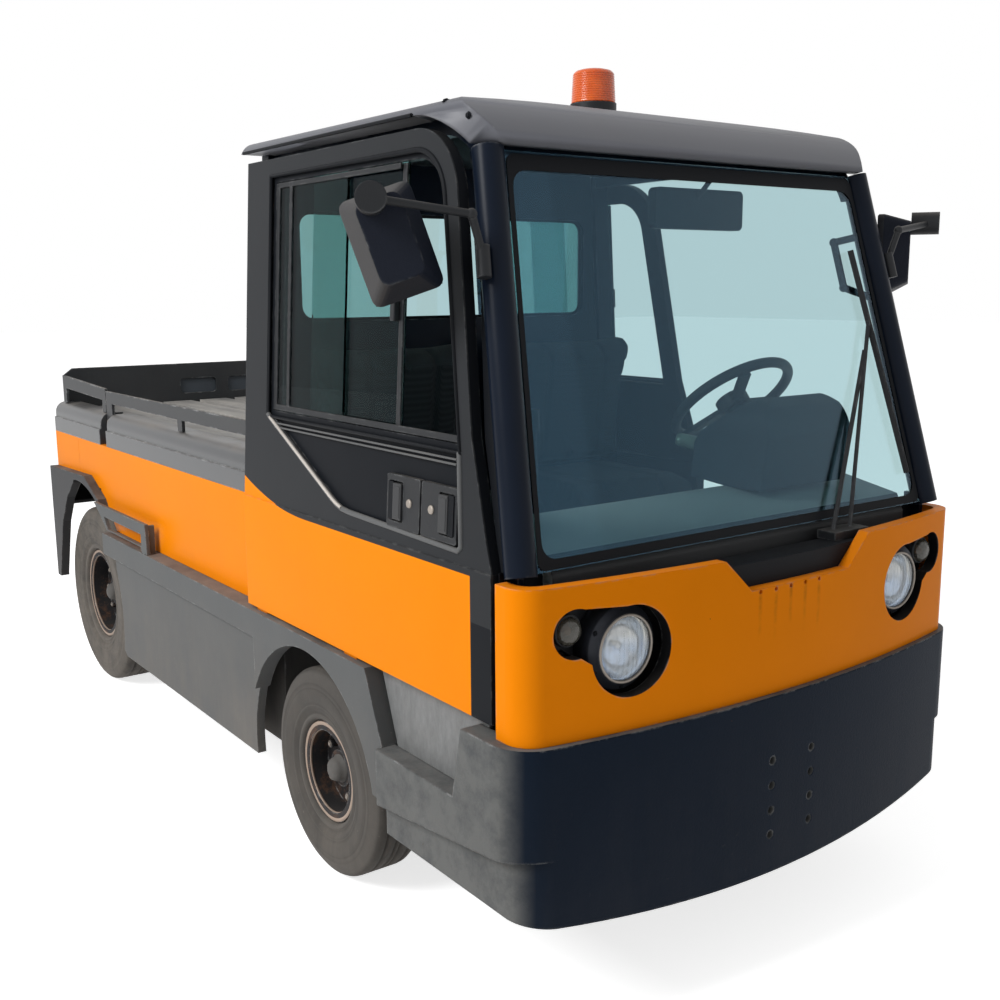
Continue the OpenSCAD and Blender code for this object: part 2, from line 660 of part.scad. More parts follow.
// A straight top that runs tangent into a round front end
module arch(c, r, rear) {
  translate([rear, c[1]]) square([c[0] - rear, r]);
  translate(c) circle(r, $fn = 128);
}
module rail_arch() intersection() {
  difference() {
    arch(bend, frame_len - bend[1], door_rear + 10);
    arch(bend, frame_len - bend[1] - 32, door_rear);
  }
  translate([door_rear + 10, bend[1] + 50]) square([nose_reach, lean_len]);
}
module grab_handle(low, high) {
  inner = [-28, -100, 0];
  path = [pillar_at(high), pillar_at(high - 20) + inner, pillar_at(low + 35) + inner, pillar_at(low)];
  for (i = [0 : 2]) rod(path[i], path[i + 1], 9);
  for (i = [1, 2]) translate(path[i]) sphere(11, $fn = 24);
}
module cab_frame() color(black) {
  both_sides() {
    rod(pillar_low, pillar_high, pillar_r);
    box(cab_rear, door_rear + 20, rear_pillar_y - 60, rear_pillar_y, ledge_z - 2, waist_z);
    lean(rear_pillar_y - 2) box(cab_rear + 2, door_rear + 18, -55, 0, -30, frame_len);
    lean(rear_pillar_y - 2) side_plate(-18, 30) rail_arch();
    box(cab_front - 55, cab_front - 6, door_y - 52, door_y - 38, ledge_z - 2, panel_top + 31);
  }
  rod([header_x, 119 - door_y, header_z], [header_x, door_y - 119, header_z], header_r);
  grab_handle(roof_edge - 381, roof_edge - 216);
}

// Rear wall of the cab with its window
wall_y = rear_pillar_y - 61;
wall_top_y = wall_y - (roof_edge - waist_z) * tan(tumblehome);
win_half = 520;
win_z0 = roof_edge - 426;
win_z1 = roof_edge - 136;
module cab_rear_wall() color(black) difference() {
  front_cut(cab_rear, cab_rear + 30)
    polygon([[-wall_y, frame_top], [wall_y, frame_top], [wall_y, waist_z], [wall_top_y, roof_edge - seat_gap],
             [-wall_top_y, roof_edge - seat_gap], [-wall_y, waist_z]]);
  front_cut(cab_rear - 1, cab_rear + 31) round_rect(-win_half + 30, win_half - 30, win_z0, win_z1, 40);
}
module rear_window() color(glass_tint) front_cut(cab_rear + 12, cab_rear + 12 + glass_t)
  round_rect(-win_half + 30 + seat_gap, win_half - 30 - seat_gap,
  win_z0 + seat_gap, win_z1 - seat_gap, 40 - seat_gap);

// Roof: its long profile follows the door corner down to the windscreen, its cross profile is crowned
roof_crown_r = 9000;
roof_corner_r = 45;
module roof_profile() intersection() {
  difference() {
    arch([bend[0], bend_z], roof_top - bend_z, cab_rear);
    arch([bend[0], bend_z], roof_edge - bend_z, cab_rear - 10);
  }
  translate([cab_rear, roof_low]) square([nose_reach - cab_rear, roof_top]);
}
module roof() color([0.36, 0.33, 0.32]) intersection() {
  side_plate(roof_width, 2 * roof_width) roof_profile();
  along_x(cab_rear - 10, nose_reach) rotate(90)
    bow_plan(roof_top, roof_width / 2, roof_crown_r, roof_corner_r, roof_low - 10);
}

// Windscreen: a flat raked pane between the front pillars
screen_rake = atan2(pillar_low[0] - pillar_high[0], pillar_high[2] - pillar_low[2]);
screen_len = norm([pillar_low[0] - pillar_high[0], pillar_high[2] - pillar_low[2]]);
function screen_half(s) = pillar_low[1] - (pillar_low[1] - pillar_high[1]) * s / screen_len
  - sqrt(pow(pillar_r, 2) - pow(4 + glass_t / 2, 2)) - 1.1;
module windscreen() color(glass_tint) translate([pillar_low[0] + 4, 0, pillar_low[2]])
  rotate([0, -screen_rake, 0]) translate([0, 0, 4]) rotate([90, 0, 90]) linear_extrude(glass_t)
    polygon([[-screen_half(4), 0], [screen_half(4), 0], [screen_half(screen_len - 4), screen_len - 8],
             [-screen_half(screen_len - 4), screen_len - 8]]);
function screen_point(y, part, out) = [pillar_low[0] + (pillar_high[0] - pillar_low[0]) * part + out, y,
  pillar_low[2] + (pillar_high[2] - pillar_low[2]) * part];

// Black cowl between the front panel and the windscreen
module cowl() color(black) difference() {
  translate([0, 0, panel_top - 82]) linear_extrude(60) intersection() {
    bow_plan(panel_nose - panel_t - seat_gap, door_y - panel_t - 10, front_bow_r, 40, panel_back + 52);
    translate([0, 101 - door_y]) square([nose_reach, 2 * door_y - 202]);
  }
  both_sides() front_cut(panel_back - 100, nose_reach + 10) lamp_outline(6);
}

// Dashboard shelf under the windscreen
dash_x = pod_x - pod_t - seat_gap;
dash_y = door_y - 121;
module dashboard() color([0.3, 0.36, 0.38]) side_plate(dash_y, 2 * dash_y)
  polygon([[dash_x, ledge_z - 2], [dash_x, panel_top - 2], [cab_front - 28, panel_top + 38],
           [cab_front - 215, panel_top + 73], [cab_front - 250, panel_top + 68],
           [cab_front - 268, panel_top + 42],
           [cab_front - 258, panel_top + 3], [cab_front - 108, panel_top - 37],
           [cab_front - 88, ledge_z - 2]]);

// Column and instrument pod in front of the driver
wheel_centre = [cab_front - 348, driver_y, panel_top + 263];
pod_w = 300;
module steering_pod() color([0.2, 0.27, 0.31]) {
  intersection() {
    side_plate(driver_y + pod_w / 2, pod_w) polygon([[cab_front - 338, panel_top + 83],
      [cab_front - 330, panel_top + 170], [cab_front - 308, panel_top + 200],
      [cab_front - 172, panel_top + 284],
      [cab_front - 138, panel_top + 290], [cab_front - 113, panel_top + 268],
      [cab_front - 93, panel_top + 203],
      [cab_front - 113, panel_top + 73 + seat_gap], [cab_front - 228, panel_top + 73 + seat_gap]]);
    front_cut(0, cab_front)
      round_rect(driver_y - pod_w / 2, driver_y + pod_w / 2, panel_top - 200, panel_top + 291, 80);
  }
  translate(wheel_centre) rotate([0, -steer_tilt, 0])
    translate([0, 0, -110]) cylinder(r = 30, h = 82 - seat_gap);
}
module steering_wheel() color(black) translate(wheel_centre) rotate([0, -steer_tilt, 0]) {
  rotate_extrude($fn = 96) translate([steer_wheel_d / 2 - 13, 0]) circle(13);
  translate([0, 0, -28]) cylinder(r = 42, h = 34);
  for (a = [90, 210, 330]) rotate(a) translate([20, -14, -20]) cube([steer_wheel_d / 2 - 36, 28, 12]);
}

// Seats: closed bases, cushions and backs for two people
seat_ys = [-driver_y, driver_y];
seat_rear = cab_rear + 52;
seat_z = ledge_z + 190;
seat_w = 470;
module seat_bases() color(black) for (y = seat_ys)
  box(seat_rear, seat_rear + 440, y - 200, y + 200, ledge_z - 2, seat_z);
module seat_cushions() color([0.12, 0.13, 0.14]) for (y = seat_ys) translate([0, y + seat_w / 2, 0])
  side_plate(0, seat_w) round_rect(seat_rear + 10, seat_rear + 480, seat_z + seat_gap, seat_z + 100, 40);
module seat_backs() color([0.12, 0.13, 0.14]) for (y = seat_ys) translate([0, y + seat_w / 2, 0])
  translate([seat_rear - 8, 0, seat_z + 105]) rotate([0, 8, 0]) translate([30, 0, 8])
    side_plate(0, seat_w) round_rect(0, 95, 0, 430, 40);

module control_lever() color(black) {
  rod([cab_rear + 422, 0, ledge_z - 1.4], [cab_rear + 402, 0, ledge_z + 460], 10);
  rod([cab_rear + 402, 0, ledge_z + 460], [cab_rear + 400, 0, ledge_z + 520], 18);
}

// Wiper: pivot block, two parallel arms and a blade
wiper_pivot = [cab_front + 46, 265, panel_top - 24];
module wiper() color(black) {
  box(wiper_pivot[0] - 30, wiper_pivot[0] + 20, wiper_pivot[1] - 60, wiper_pivot[1] + 60,
  panel_top - 22, panel_top - 2);
  bar(wiper_pivot + [-5, -38, 9], screen_point(470, 0.475, 21), 9);
  bar(wiper_pivot + [-5, 23, 9], screen_point(500, 0.562, 24), 9);
  bar(screen_point(560, 0.103, 20.6), screen_point(478, 0.773, 20.6), 13);
}

module cab_mirror() color(black) {
  rod([header_x - 17.7, 110, header_z - 16.8], [header_x - 61, 110, header_z - 58], 6);
  front_cut(header_x - 80, header_x - 55) round_rect(-28, 262, header_z - 128, header_z - 35, 14);
}

// Outside mirrors: pillar bracket, bent arm, ball clamp and housing
mirror_z = roof_edge - 291;
mirror_base = pillar_at(mirror_z) + [18.5, 43.4, 0];
mirror_elbow = mirror_base + [1.6, 27.7, 87];
mirror_ball = mirror_base + [-39.4, 218.7, 111];
clamp_front = 25;
clamp_rear = -45;
module mirror_head(roll, yaw) translate(mirror_ball) rotate([0, 0, yaw]) rotate([roll, 0, 0])
  translate([clamp_rear - seat_gap, -10, -86]) hull() {
    for (y = [-54, 54], z = [-86, 86])
      translate([-80, y, z]) rotate([0, 90, 0]) cylinder(r = 18, h = 14, $fn = 16);
    for (y = [-26, 26], z = [-52, 70])
      translate([-20, y, z]) rotate([0, 90, 0]) cylinder(r = 18, h = 20, $fn = 16);
  }
module mirror_arm(yaw) {
  rod(mirror_base + [7.5, 3, -30], mirror_base + [-7.5, -3, 30], 14);
  rod(mirror_base + [-4, 0, 16], mirror_elbow, 8);
  translate(mirror_elbow) sphere(11, $fn = 24);
  rod(mirror_elbow, mirror_ball, 8);
  translate(mirror_ball) rotate([0, 0, yaw]) rotate([0, 90, 0]) translate([0, 0, clamp_rear])
    cylinder(r = 29, h = clamp_front - clamp_rear);
}
mirror_yaw = [34, 30];
module mirror_arms() color(black) {
  mirror_arm(mirror_yaw[0]);
  mirror([0, 1, 0]) mirror_arm(mirror_yaw[1]);
}
module mirror_heads() color(black) {
  mirror_head(-5, mirror_yaw[0]);
  mirror([0, 1, 0]) mirror_head(-19, mirror_yaw[1]);
}

// Rotating beacon on the roof
beacon_x = bend[0] - 184;
beacon_base_h = 48;
module beacon_base() color(black) translate([beacon_x, 0, roof_top + seat_gap])
  cylinder(r = 56, h = beacon_base_h - seat_gap);
module beacon_lens() color([1, 0.4, 0.05]) translate([beacon_x, 0, roof_top + beacon_base_h]) {
  cylinder(r1 = 54, r2 = 50, h = 70);
  translate([0, 0, 70]) intersection() {
    translate([0, 0, -110]) sphere(r = 121);
    cylinder(r = 50, h = 12);
  }
}

row() chassis_frame();
row() battery_block();
row() drive_unit();
row() front_axle();
row() cab_floor();
row() front_bumper();
row() front_panel();
row() lamp_pods();
row() headlamps();
row() indicators();
row() step_panels();
row() mirror([0, 1, 0]) skirt();  // skirt_right
row() skirt();  // skirt_left
row() rear_fenders();
row() door_guards();
row() side_panels();
row() rear_cover();
row() deck_shoulders();
row() deck_plate();
row() deck_rails();
row() rear_lamps();
row() tow_coupling();
row() cab_frame();
row() cab_rear_wall();
row() rear_window();
row() roof();
row() windscreen();
row() cowl();
row() dashboard();
row() steering_pod();
row() seat_bases();
row() seat_cushions();
row() seat_backs();
row() control_lever();
row() wiper();
row() cab_mirror();
row() mirror_arms();
row() mirror_heads();
row() beacon_base();
row() beacon_lens();
row() mirror([0, 1, 0]) door();  // door_right
row() mirror([0, 1, 0]) door_glass();  // door_right_glass
row() mirror([0, 1, 0]) door_latches();  // door_right_latches
row() translate([-door_travel, 0, 0]) door();  // door_left
row() translate([-door_travel, 0, 0]) door_glass();  // door_left_glass
row() translate([-door_travel, 0, 0]) door_latches();  // door_left_latches
row() steering_wheel();
row() mirror([0, 1, 0]) knuckle();  // knuckle_right
row() knuckle();  // knuckle_left
row() tyre_front(-1);  // tyre_front_right
row() mirror([0, 1, 0]) rim_front();  // rim_front_right
row() tyre_front(1);  // tyre_front_left
row() rim_front();  // rim_front_left
row() tyre_rear(-1);  // tyre_rear_right
row() mirror([0, 1, 0]) rim_rear();  // rim_rear_right
row() tyre_rear(1);  // tyre_rear_left
row() rim_rear();  // rim_rear_left
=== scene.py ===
import math
import bpy
import bmesh
from mathutils import Matrix, Vector
from mathutils.bvhtree import BVHTree


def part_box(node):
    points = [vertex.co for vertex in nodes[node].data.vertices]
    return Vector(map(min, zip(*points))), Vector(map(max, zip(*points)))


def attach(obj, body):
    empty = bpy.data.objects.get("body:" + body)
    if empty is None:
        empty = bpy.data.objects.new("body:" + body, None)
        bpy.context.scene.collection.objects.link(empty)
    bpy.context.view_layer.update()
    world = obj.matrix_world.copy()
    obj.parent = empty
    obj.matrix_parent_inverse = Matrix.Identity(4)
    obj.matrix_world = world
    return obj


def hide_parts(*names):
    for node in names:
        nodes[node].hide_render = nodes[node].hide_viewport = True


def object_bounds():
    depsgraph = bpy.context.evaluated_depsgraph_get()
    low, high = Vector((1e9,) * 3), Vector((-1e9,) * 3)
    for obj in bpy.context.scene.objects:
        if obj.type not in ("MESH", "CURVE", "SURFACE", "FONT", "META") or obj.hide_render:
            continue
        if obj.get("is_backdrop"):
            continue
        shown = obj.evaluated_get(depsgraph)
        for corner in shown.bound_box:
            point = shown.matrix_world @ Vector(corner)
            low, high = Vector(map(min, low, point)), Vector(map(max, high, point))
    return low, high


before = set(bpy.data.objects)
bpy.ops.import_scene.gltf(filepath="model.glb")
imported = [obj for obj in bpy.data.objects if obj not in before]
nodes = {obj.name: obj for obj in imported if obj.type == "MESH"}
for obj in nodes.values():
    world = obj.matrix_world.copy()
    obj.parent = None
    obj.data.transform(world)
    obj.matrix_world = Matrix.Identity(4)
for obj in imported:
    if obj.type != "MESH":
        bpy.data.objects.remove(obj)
cad_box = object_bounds()
scene = bpy.context.scene
scene.view_settings.view_transform = "Standard"
# Lengths along the tractor are given from the front axle, as a workshop drawing does.
ax = sum(corner.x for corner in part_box("tyre_front_right")) / 2

# Camera: stands in front of the right-hand corner at eye height and looks slightly down.
# Its place and lens were fitted to the wheels, lamps and body edges.
yaw, pitch, roll = math.radians(143.808), math.radians(-10.41), -0.0066
ahead = Vector((math.cos(pitch) * math.cos(yaw), math.cos(pitch) * math.sin(yaw), math.sin(pitch)))
level = ahead.cross(Vector((0, 0, 1))).normalized()
upright = level.cross(ahead)
cam_x = level * math.cos(roll) + upright * math.sin(roll)
cam_y = upright * math.cos(roll) - level * math.sin(roll)
camera = bpy.data.objects.new("camera", bpy.data.cameras.new("camera"))
camera.data.sensor_width = 36
camera.data.lens = 41.646
camera.data.clip_end = 100
camera.matrix_world = Matrix((
    (cam_x.x, cam_y.x, -ahead.x, ax + 2.5147),
    (cam_x.y, cam_y.y, -ahead.y, -1.922),
    (cam_x.z, cam_y.z, -ahead.z, 1.4869),
    (0, 0, 0, 1)))
scene.collection.objects.link(camera)
scene.camera = camera


# Studio: a pale floor under an even white surround, with one broad key light on the right-hand side.
# The camera sees floor and surround a little brighter than they light the tractor.
def shown(tree):
    """1 for what the camera sees, also in a reflection or through glass."""
    path = tree.nodes.new("ShaderNodeLightPath")
    share = path.outputs["Is Camera Ray"]
    for ray in ("Is Glossy Ray", "Is Transmission Ray"):
        join = tree.nodes.new("ShaderNodeMath")
        join.operation = "MAXIMUM"
        tree.links.new(share, join.inputs[0])
        tree.links.new(path.outputs[ray], join.inputs[1])
        share = join.outputs[0]
    return share


def spread(tree, value, low, high):
    """Takes 0 to 1 to the span from low to high."""
    node = tree.nodes.new("ShaderNodeMapRange")
    node.inputs["To Min"].default_value = low
    node.inputs["To Max"].default_value = high
    tree.links.new(value, node.inputs["Value"])
    return node.outputs["Result"]


def plain(name):
    """A new material with its tree and shader."""
    mat = bpy.data.materials.new(name)
    mat.use_nodes = True
    return mat, mat.node_tree, mat.node_tree.nodes["Principled BSDF"]


floor_mesh = bpy.data.meshes.new("floor")
bm = bmesh.new()
bmesh.ops.create_grid(bm, x_segments=1, y_segments=1, size=40)
bm.to_mesh(floor_mesh)
bm.free()
floor = bpy.data.objects.new("floor", floor_mesh)
scene.collection.objects.link(floor)
floor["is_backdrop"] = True
floor_mat, tree, shader = plain("floor_pale")
shader.inputs["Base Color"].default_value = (0.84, 0.84, 0.84, 1)
shader.inputs["Roughness"].default_value = 0.9
shader.inputs["Emission Color"].default_value = (1, 1, 1, 1)
tree.links.new(spread(tree, shown(tree), 0.0, 0.74), shader.inputs["Emission Strength"])
floor_mesh.materials.append(floor_mat)
world = bpy.data.worlds.new("studio")
scene.world = world
world.use_nodes = True
tree = world.node_tree
surround = tree.nodes["Background"]
surround.inputs["Color"].default_value = (1, 1, 1, 1)
tree.links.new(spread(tree, shown(tree), 0.37, 1.0), surround.inputs["Strength"])
for name, energy, size, place, aim in (
        ("key", 295, 2.4, (ax - 0.3, -5.2, 4.6), (ax - 0.4, 0, 0.7)),
        ("fill", 9, 4.0, (ax + 5.5, 1.5, 3.2), (ax, 0, 0.9))):
    data = bpy.data.lights.new(name, "AREA")
    data.energy, data.size = energy, size
    light = bpy.data.objects.new(name, data)
    light.location = place
    light.rotation_euler = (Vector(aim) - Vector(place)).to_track_quat("-Z", "Y").to_euler()
    scene.collection.objects.link(light)


# Chassis, axle beam, drive unit and knuckles: welded and cast steel under dull paint and road dust.
# The shader group made here puts dust, stains, chipped edges and grain on every finish that follows.
def calc(tree, op, a, b=0.0, clamp=False):
    """A maths node fed by sockets or numbers."""
    node = tree.nodes.new("ShaderNodeMath")
    node.operation, node.use_clamp = op, clamp
    for socket, value in zip(node.inputs, (a, b)):
        if isinstance(value, (int, float)):
            socket.default_value = value
        else:
            tree.links.new(value, socket)
    return node.outputs[0]


def times(tree, first, *others):
    """The product of sockets and numbers."""
    for other in others:
        first = calc(tree, "MULTIPLY", first, other)
    return first


def ramp(tree, value, start, end):
    """0 up to start and 1 from end on; start may be the larger one."""
    node = tree.nodes.new("ShaderNodeMapRange")
    node.inputs["From Min"].default_value = start
    node.inputs["From Max"].default_value = end
    tree.links.new(value, node.inputs["Value"])
    return node.outputs["Result"]


def mottle(tree, scale, detail=4.0, rough=0.6, stretch=(1, 1, 1)):
    """Noise over the part's own coordinates."""
    where = tree.nodes.new("ShaderNodeTexCoord")
    mapping = tree.nodes.new("ShaderNodeMapping")
    mapping.inputs["Scale"].default_value = stretch
    tree.links.new(where.outputs["Object"], mapping.inputs["Vector"])
    node = tree.nodes.new("ShaderNodeTexNoise")
    node.inputs["Scale"].default_value = scale
    node.inputs["Detail"].default_value = detail
    node.inputs["Roughness"].default_value = rough
    tree.links.new(mapping.outputs["Vector"], node.inputs["Vector"])
    return node.outputs["Fac"]


def place_on(tree):
    """The x, y and z of a point of the part."""
    where = tree.nodes.new("ShaderNodeTexCoord")
    split = tree.nodes.new("ShaderNodeSeparateXYZ")
    tree.links.new(where.outputs["Object"], split.inputs[0])
    return split.outputs


def facing(tree):
    """Which way the surface looks."""
    surface = tree.nodes.new("ShaderNodeNewGeometry")
    split = tree.nodes.new("ShaderNodeSeparateXYZ")
    tree.links.new(surface.outputs["Normal"], split.inputs[0])
    return split.outputs


def between(tree, mask, low, high):
    """A colour that goes from low to high with a mask; each is a colour or a socket."""
    node = tree.nodes.new("ShaderNodeMix")
    node.data_type = "RGBA"
    tree.links.new(mask, node.inputs["Factor"])
    for label, value in (("A", low), ("B", high)):
        if isinstance(value, tuple):
            node.inputs[label].default_value = (*value, 1)
        else:
            tree.links.new(value, node.inputs[label])
    return node.outputs["Result"]


grime = bpy.data.node_groups.new("grime", "ShaderNodeTree")
for way, labels in (
        ("INPUT", ("Color", "Rough", "Dust", "Wear", "Scuff")),
        ("OUTPUT", ("Color", "Rough", "Height"))):
    for label in labels:
        kind = "NodeSocketColor" if label == "Color" else "NodeSocketFloat"
        grime.interface.new_socket(label, in_out=way, socket_type=kind)
given, result = grime.nodes.new("NodeGroupInput").outputs, grime.nodes.new("NodeGroupOutput").inputs
rust_brown, bare_steel, road_dust = (0.09, 0.045, 0.02), (0.40, 0.41, 0.41), (0.25, 0.222, 0.193)
stains, streaks = mottle(grime, 3.1, 6.0, 0.62), mottle(grime, 9.0, 5.0, 0.65, (1, 1, 0.15))
flat_top = times(grime, ramp(grime, facing(grime)["Z"], 0.55, 0.95), 0.95)
low_down = ramp(grime, place_on(grime)["Z"], 0.62, 0.05)
settled = calc(grime, "ADD", calc(grime, "MAXIMUM", flat_top, times(grime, low_down, 0.7)), 0.06)
blotches = calc(grime, "ADD", ramp(grime, stains, 0.3, 0.75), ramp(grime, streaks, 0.45, 0.8))
film = times(grime, settled, given["Dust"], blotches)
splash = times(grime, ramp(grime, mottle(grime, 75.0, 3.0), 0.67, 0.72), calc(grime, "ADD", low_down, 0.12),
               given["Dust"])
soil = calc(grime, "MAXIMUM", film, splash, True)
rounded = grime.nodes.new("ShaderNodeBevel")
rounded.samples = 4
rounded.inputs["Radius"].default_value = 0.007
turn = grime.nodes.new("ShaderNodeVectorMath")
turn.operation = "DOT_PRODUCT"
grime.links.new(rounded.outputs["Normal"], turn.inputs[0])
grime.links.new(grime.nodes.new("ShaderNodeNewGeometry").outputs["Normal"], turn.inputs[1])
edge = ramp(grime, turn.outputs["Value"], 0.97, 0.80)
chips = times(grime, edge, ramp(grime, mottle(grime, 22.0, 7.0, 0.7), 0.48, 0.62), given["Scuff"])
nicks = times(grime, ramp(grime, mottle(grime, 55.0, 4.0), 0.755, 0.775), given["Scuff"])
tone = grime.nodes.new("ShaderNodeHueSaturation")
grime.links.new(given["Color"], tone.inputs["Color"])
fading = times(grime, calc(grime, "SUBTRACT", stains, 0.5), given["Wear"])
grime.links.new(calc(grime, "ADD", fading, 1.0), tone.inputs["Value"])
worn = between(grime, chips, between(grime, nicks, tone.outputs["Color"], rust_brown), bare_steel)
grime.links.new(between(grime, soil, worn, road_dust), result["Color"])
dullness = times(grime, calc(grime, "ADD", soil, times(grime, stains, 0.15)), 0.5)
grime.links.new(calc(grime, "ADD", given["Rough"], dullness, True), result["Rough"])
grain = calc(grime, "ADD", times(grime, mottle(grime, 420.0, 2.0), 0.5), mottle(grime, 170.0, 2.0))
grime.links.new(grain, result["Height"])


def coat(name, color, rough, dust=0.3, wear=0.4, bump=0.06, metallic=0.0, soft=0.003, scuff=0.4, gloss=0.5,
         clear=0.0):
    """A paint, plastic or metal: dust, stains and chips from the shared group, with softened edges."""
    mat, tree, shader = plain(name)
    group = tree.nodes.new("ShaderNodeGroup")
    group.node_tree, group.name = grime, "grime"
    for label, value in (
            ("Color", (*color, 1)), ("Rough", rough), ("Dust", dust), ("Wear", wear), ("Scuff", scuff)):
        group.inputs[label].default_value = value
    tree.links.new(group.outputs["Color"], shader.inputs["Base Color"])
    tree.links.new(group.outputs["Rough"], shader.inputs["Roughness"])
    shader.inputs["Metallic"].default_value = metallic
    shader.inputs["Specular IOR Level"].default_value = gloss
    shader.inputs["Coat Weight"].default_value = clear
    bumps = tree.nodes.new("ShaderNodeBump")
    bumps.name = "bumps"
    bumps.inputs["Strength"].default_value = bump
    bumps.inputs["Distance"].default_value = 0.002
    tree.links.new(group.outputs["Height"], bumps.inputs["Height"])
    if soft:
        edges = tree.nodes.new("ShaderNodeBevel")
        edges.samples = 4
        edges.inputs["Radius"].default_value = soft
        tree.links.new(edges.outputs["Normal"], bumps.inputs["Normal"])
    tree.links.new(bumps.outputs["Normal"], shader.inputs["Normal"])
    return mat


def dress(mat, *names):
    """Gives CAD nodes a finish."""
    for name in names:
        slots = nodes[name].material_slots
        for slot in slots:
            slot.material = mat
        if not slots:
            nodes[name].data.materials.append(mat)


frame_black = coat("frame_paint", (0.010, 0.010, 0.011), 0.6, dust=0.7, bump=0.1)
cast_iron = coat("cast_iron", (0.05, 0.046, 0.043), 0.6, dust=0.7, wear=0.7, bump=0.2, metallic=0.4)
dress(frame_black, "chassis_frame", "front_axle", "battery_block")
dress(cast_iron, "drive_unit", "tow_coupling", "knuckle_right", "knuckle_left")


# Tyres: ribbed rubber with raised rings on the sidewall, grey with road dust.
# Each is one closed shape spun about its hub, with bands of colour that follow the rings: painted shading
# that makes the raised rings lighter and the hollows and rim edge darker, and painted shadow on the tread.
def tint(mat, color):
    """Leads a varying colour into a finish."""
    mat.node_tree.links.new(color, mat.node_tree.nodes["grime"].inputs["Color"])


def turned(bm, profile, at, axis, steps):
    """Spins (radius, along) points about an axis through a point."""
    axis = Vector(axis).normalized()
    out = axis.orthogonal().normalized()
    rim = [bm.verts.new(Vector(at) + out * r + axis * h) for r, h in profile]
    line = [bm.edges.new(pair) for pair in zip(rim, rim[1:])]
    bmesh.ops.spin(bm, geom=rim + line, cent=at, axis=axis, angle=2 * math.pi, steps=steps, use_merge=True)
    bmesh.ops.remove_doubles(bm, verts=bm.verts, dist=1e-5)


def piece(name, bm, body, mat, smooth=True, bevel=0.0):
    """Turns a bmesh into a piece that rides on a body."""
    mesh = bpy.data.meshes.new(name)
    bmesh.ops.recalc_face_normals(bm, faces=bm.faces)
    bm.to_mesh(mesh)
    bm.free()
    mesh.materials.append(mat)
    for polygon in mesh.polygons:
        polygon.use_smooth = smooth
    obj = bpy.data.objects.new(name, mesh)
    scene.collection.objects.link(obj)
    if bevel:
        edges = obj.modifiers.new("edges", "BEVEL")
        edges.width, edges.segments, edges.limit_method = bevel, 2, "ANGLE"
    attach(obj, body)
    return obj


def spun(name, profile, at, axis, steps, body, mat):
    """A piece turned from one profile."""
    bm = bmesh.new()
    turned(bm, profile, at, axis, steps)
    return piece(name, bm, body, mat)


both_sides = ((-1, "right"), (1, "left"))
# Painted shading by distance from the hub: raised rings lighter, hollows and the rim edge darker, and the
# tread from 0.955 on dark as painted shadow.
ring_painted_shading = (
    (0.0, 0.022), (0.05, 0.075), (0.13, 0.082), (0.155, 0.026), (0.21, 0.046), (0.29, 0.040), (0.305, 0.072),
    (0.33, 0.030), (0.38, 0.050), (0.60, 0.052), (0.625, 0.026), (0.65, 0.060), (0.72, 0.034), (0.745, 0.066),
    (0.90, 0.080), (0.93, 0.062), (0.955, 0.020), (1.0, 0.020))
for end, bead, pale, chalk_share, depth in (
        ("front", 0.1153, (0.105, 0.095, 0.082), 0.32, 0.72),
        ("rear", 0.1533, (0.19, 0.163, 0.135), 0.75, 1.0)):
    lo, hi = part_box(f"tyre_{end}_right")
    hub, R, w = (lo + hi) / 2, (hi.z - lo.z) / 2, hi.y - lo.y
    lip = bead + 0.0157
    tyre_rubber = coat(f"tyre_rubber_{end}", (0.05, 0.047, 0.043), 0.8, dust=0.4, wear=0.5, bump=0.25, soft=0,
                       scuff=0)
    tree = tyre_rubber.node_tree
    at = place_on(tree)
    across, up = calc(tree, "SUBTRACT", at["X"], hub.x), calc(tree, "SUBTRACT", at["Z"], hub.z)
    from_hub = calc(tree, "SQRT", calc(tree, "ADD", times(tree, across, across), times(tree, up, up)))
    bands = tree.nodes.new("ShaderNodeValToRGB")
    tree.links.new(ramp(tree, from_hub, lip, R), bands.inputs["Fac"])
    ladder = bands.color_ramp.elements
    while len(ladder) < len(ring_painted_shading):
        ladder.new(0.5)
    for stop, (part, shade) in zip(ladder, ring_painted_shading):
        stop.position, stop.color = part, (depth * shade, depth * shade * 0.93, depth * shade * 0.85, 1)
    chalk = times(tree, ramp(tree, mottle(tree, 16.0, 9.0, 0.72), 0.30, 0.80), chalk_share)
    tint(tyre_rubber, between(tree, chalk, bands.outputs["Color"], pale))
    half = [
        (bead, 0.328), (lip + 0.001, 0.328), (lip + 0.004, 0.395), (lip + 0.008, 0.428), (lip + 0.012, 0.440),
        (lip + 0.016, 0.438), (lip + 0.018, 0.425), (lip + 0.023, 0.428), (lip + 0.032, 0.455),
        (lip + 0.036, 0.472), (lip + 0.041, 0.476), (lip + 0.044, 0.468), (lip + 0.054, 0.486),
        (R - 0.066, 0.497), (R - 0.058, 0.4995), (R - 0.054, 0.490), (R - 0.045, 0.486), (R - 0.041, 0.492),
        (R - 0.037, 0.486), (R - 0.026, 0.464), (R - 0.014, 0.434), (R - 0.005, 0.392), (R - 0.001, 0.345),
        (R, 0.30), (R, 0.262),
        (R - 0.007, 0.25), (R - 0.007, 0.225), (R, 0.212), (R, 0.075), (R - 0.007, 0.06), (R - 0.007, 0.03),
        (R, 0.018)]
    profile = [(r, f * w) for r, f in half] + [(r, -f * w) for r, f in reversed(half)]
    for _, spot in both_sides:
        lo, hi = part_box(f"tyre_{end}_{spot}")
        tyre = spun(f"tyre_body_{end}_{spot}", profile + profile[:1], (lo + hi) / 2, (0, 1, 0), 96,
                    f"{end}_{spot}_wheel", tyre_rubber)
        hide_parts(f"tyre_{end}_{spot}")


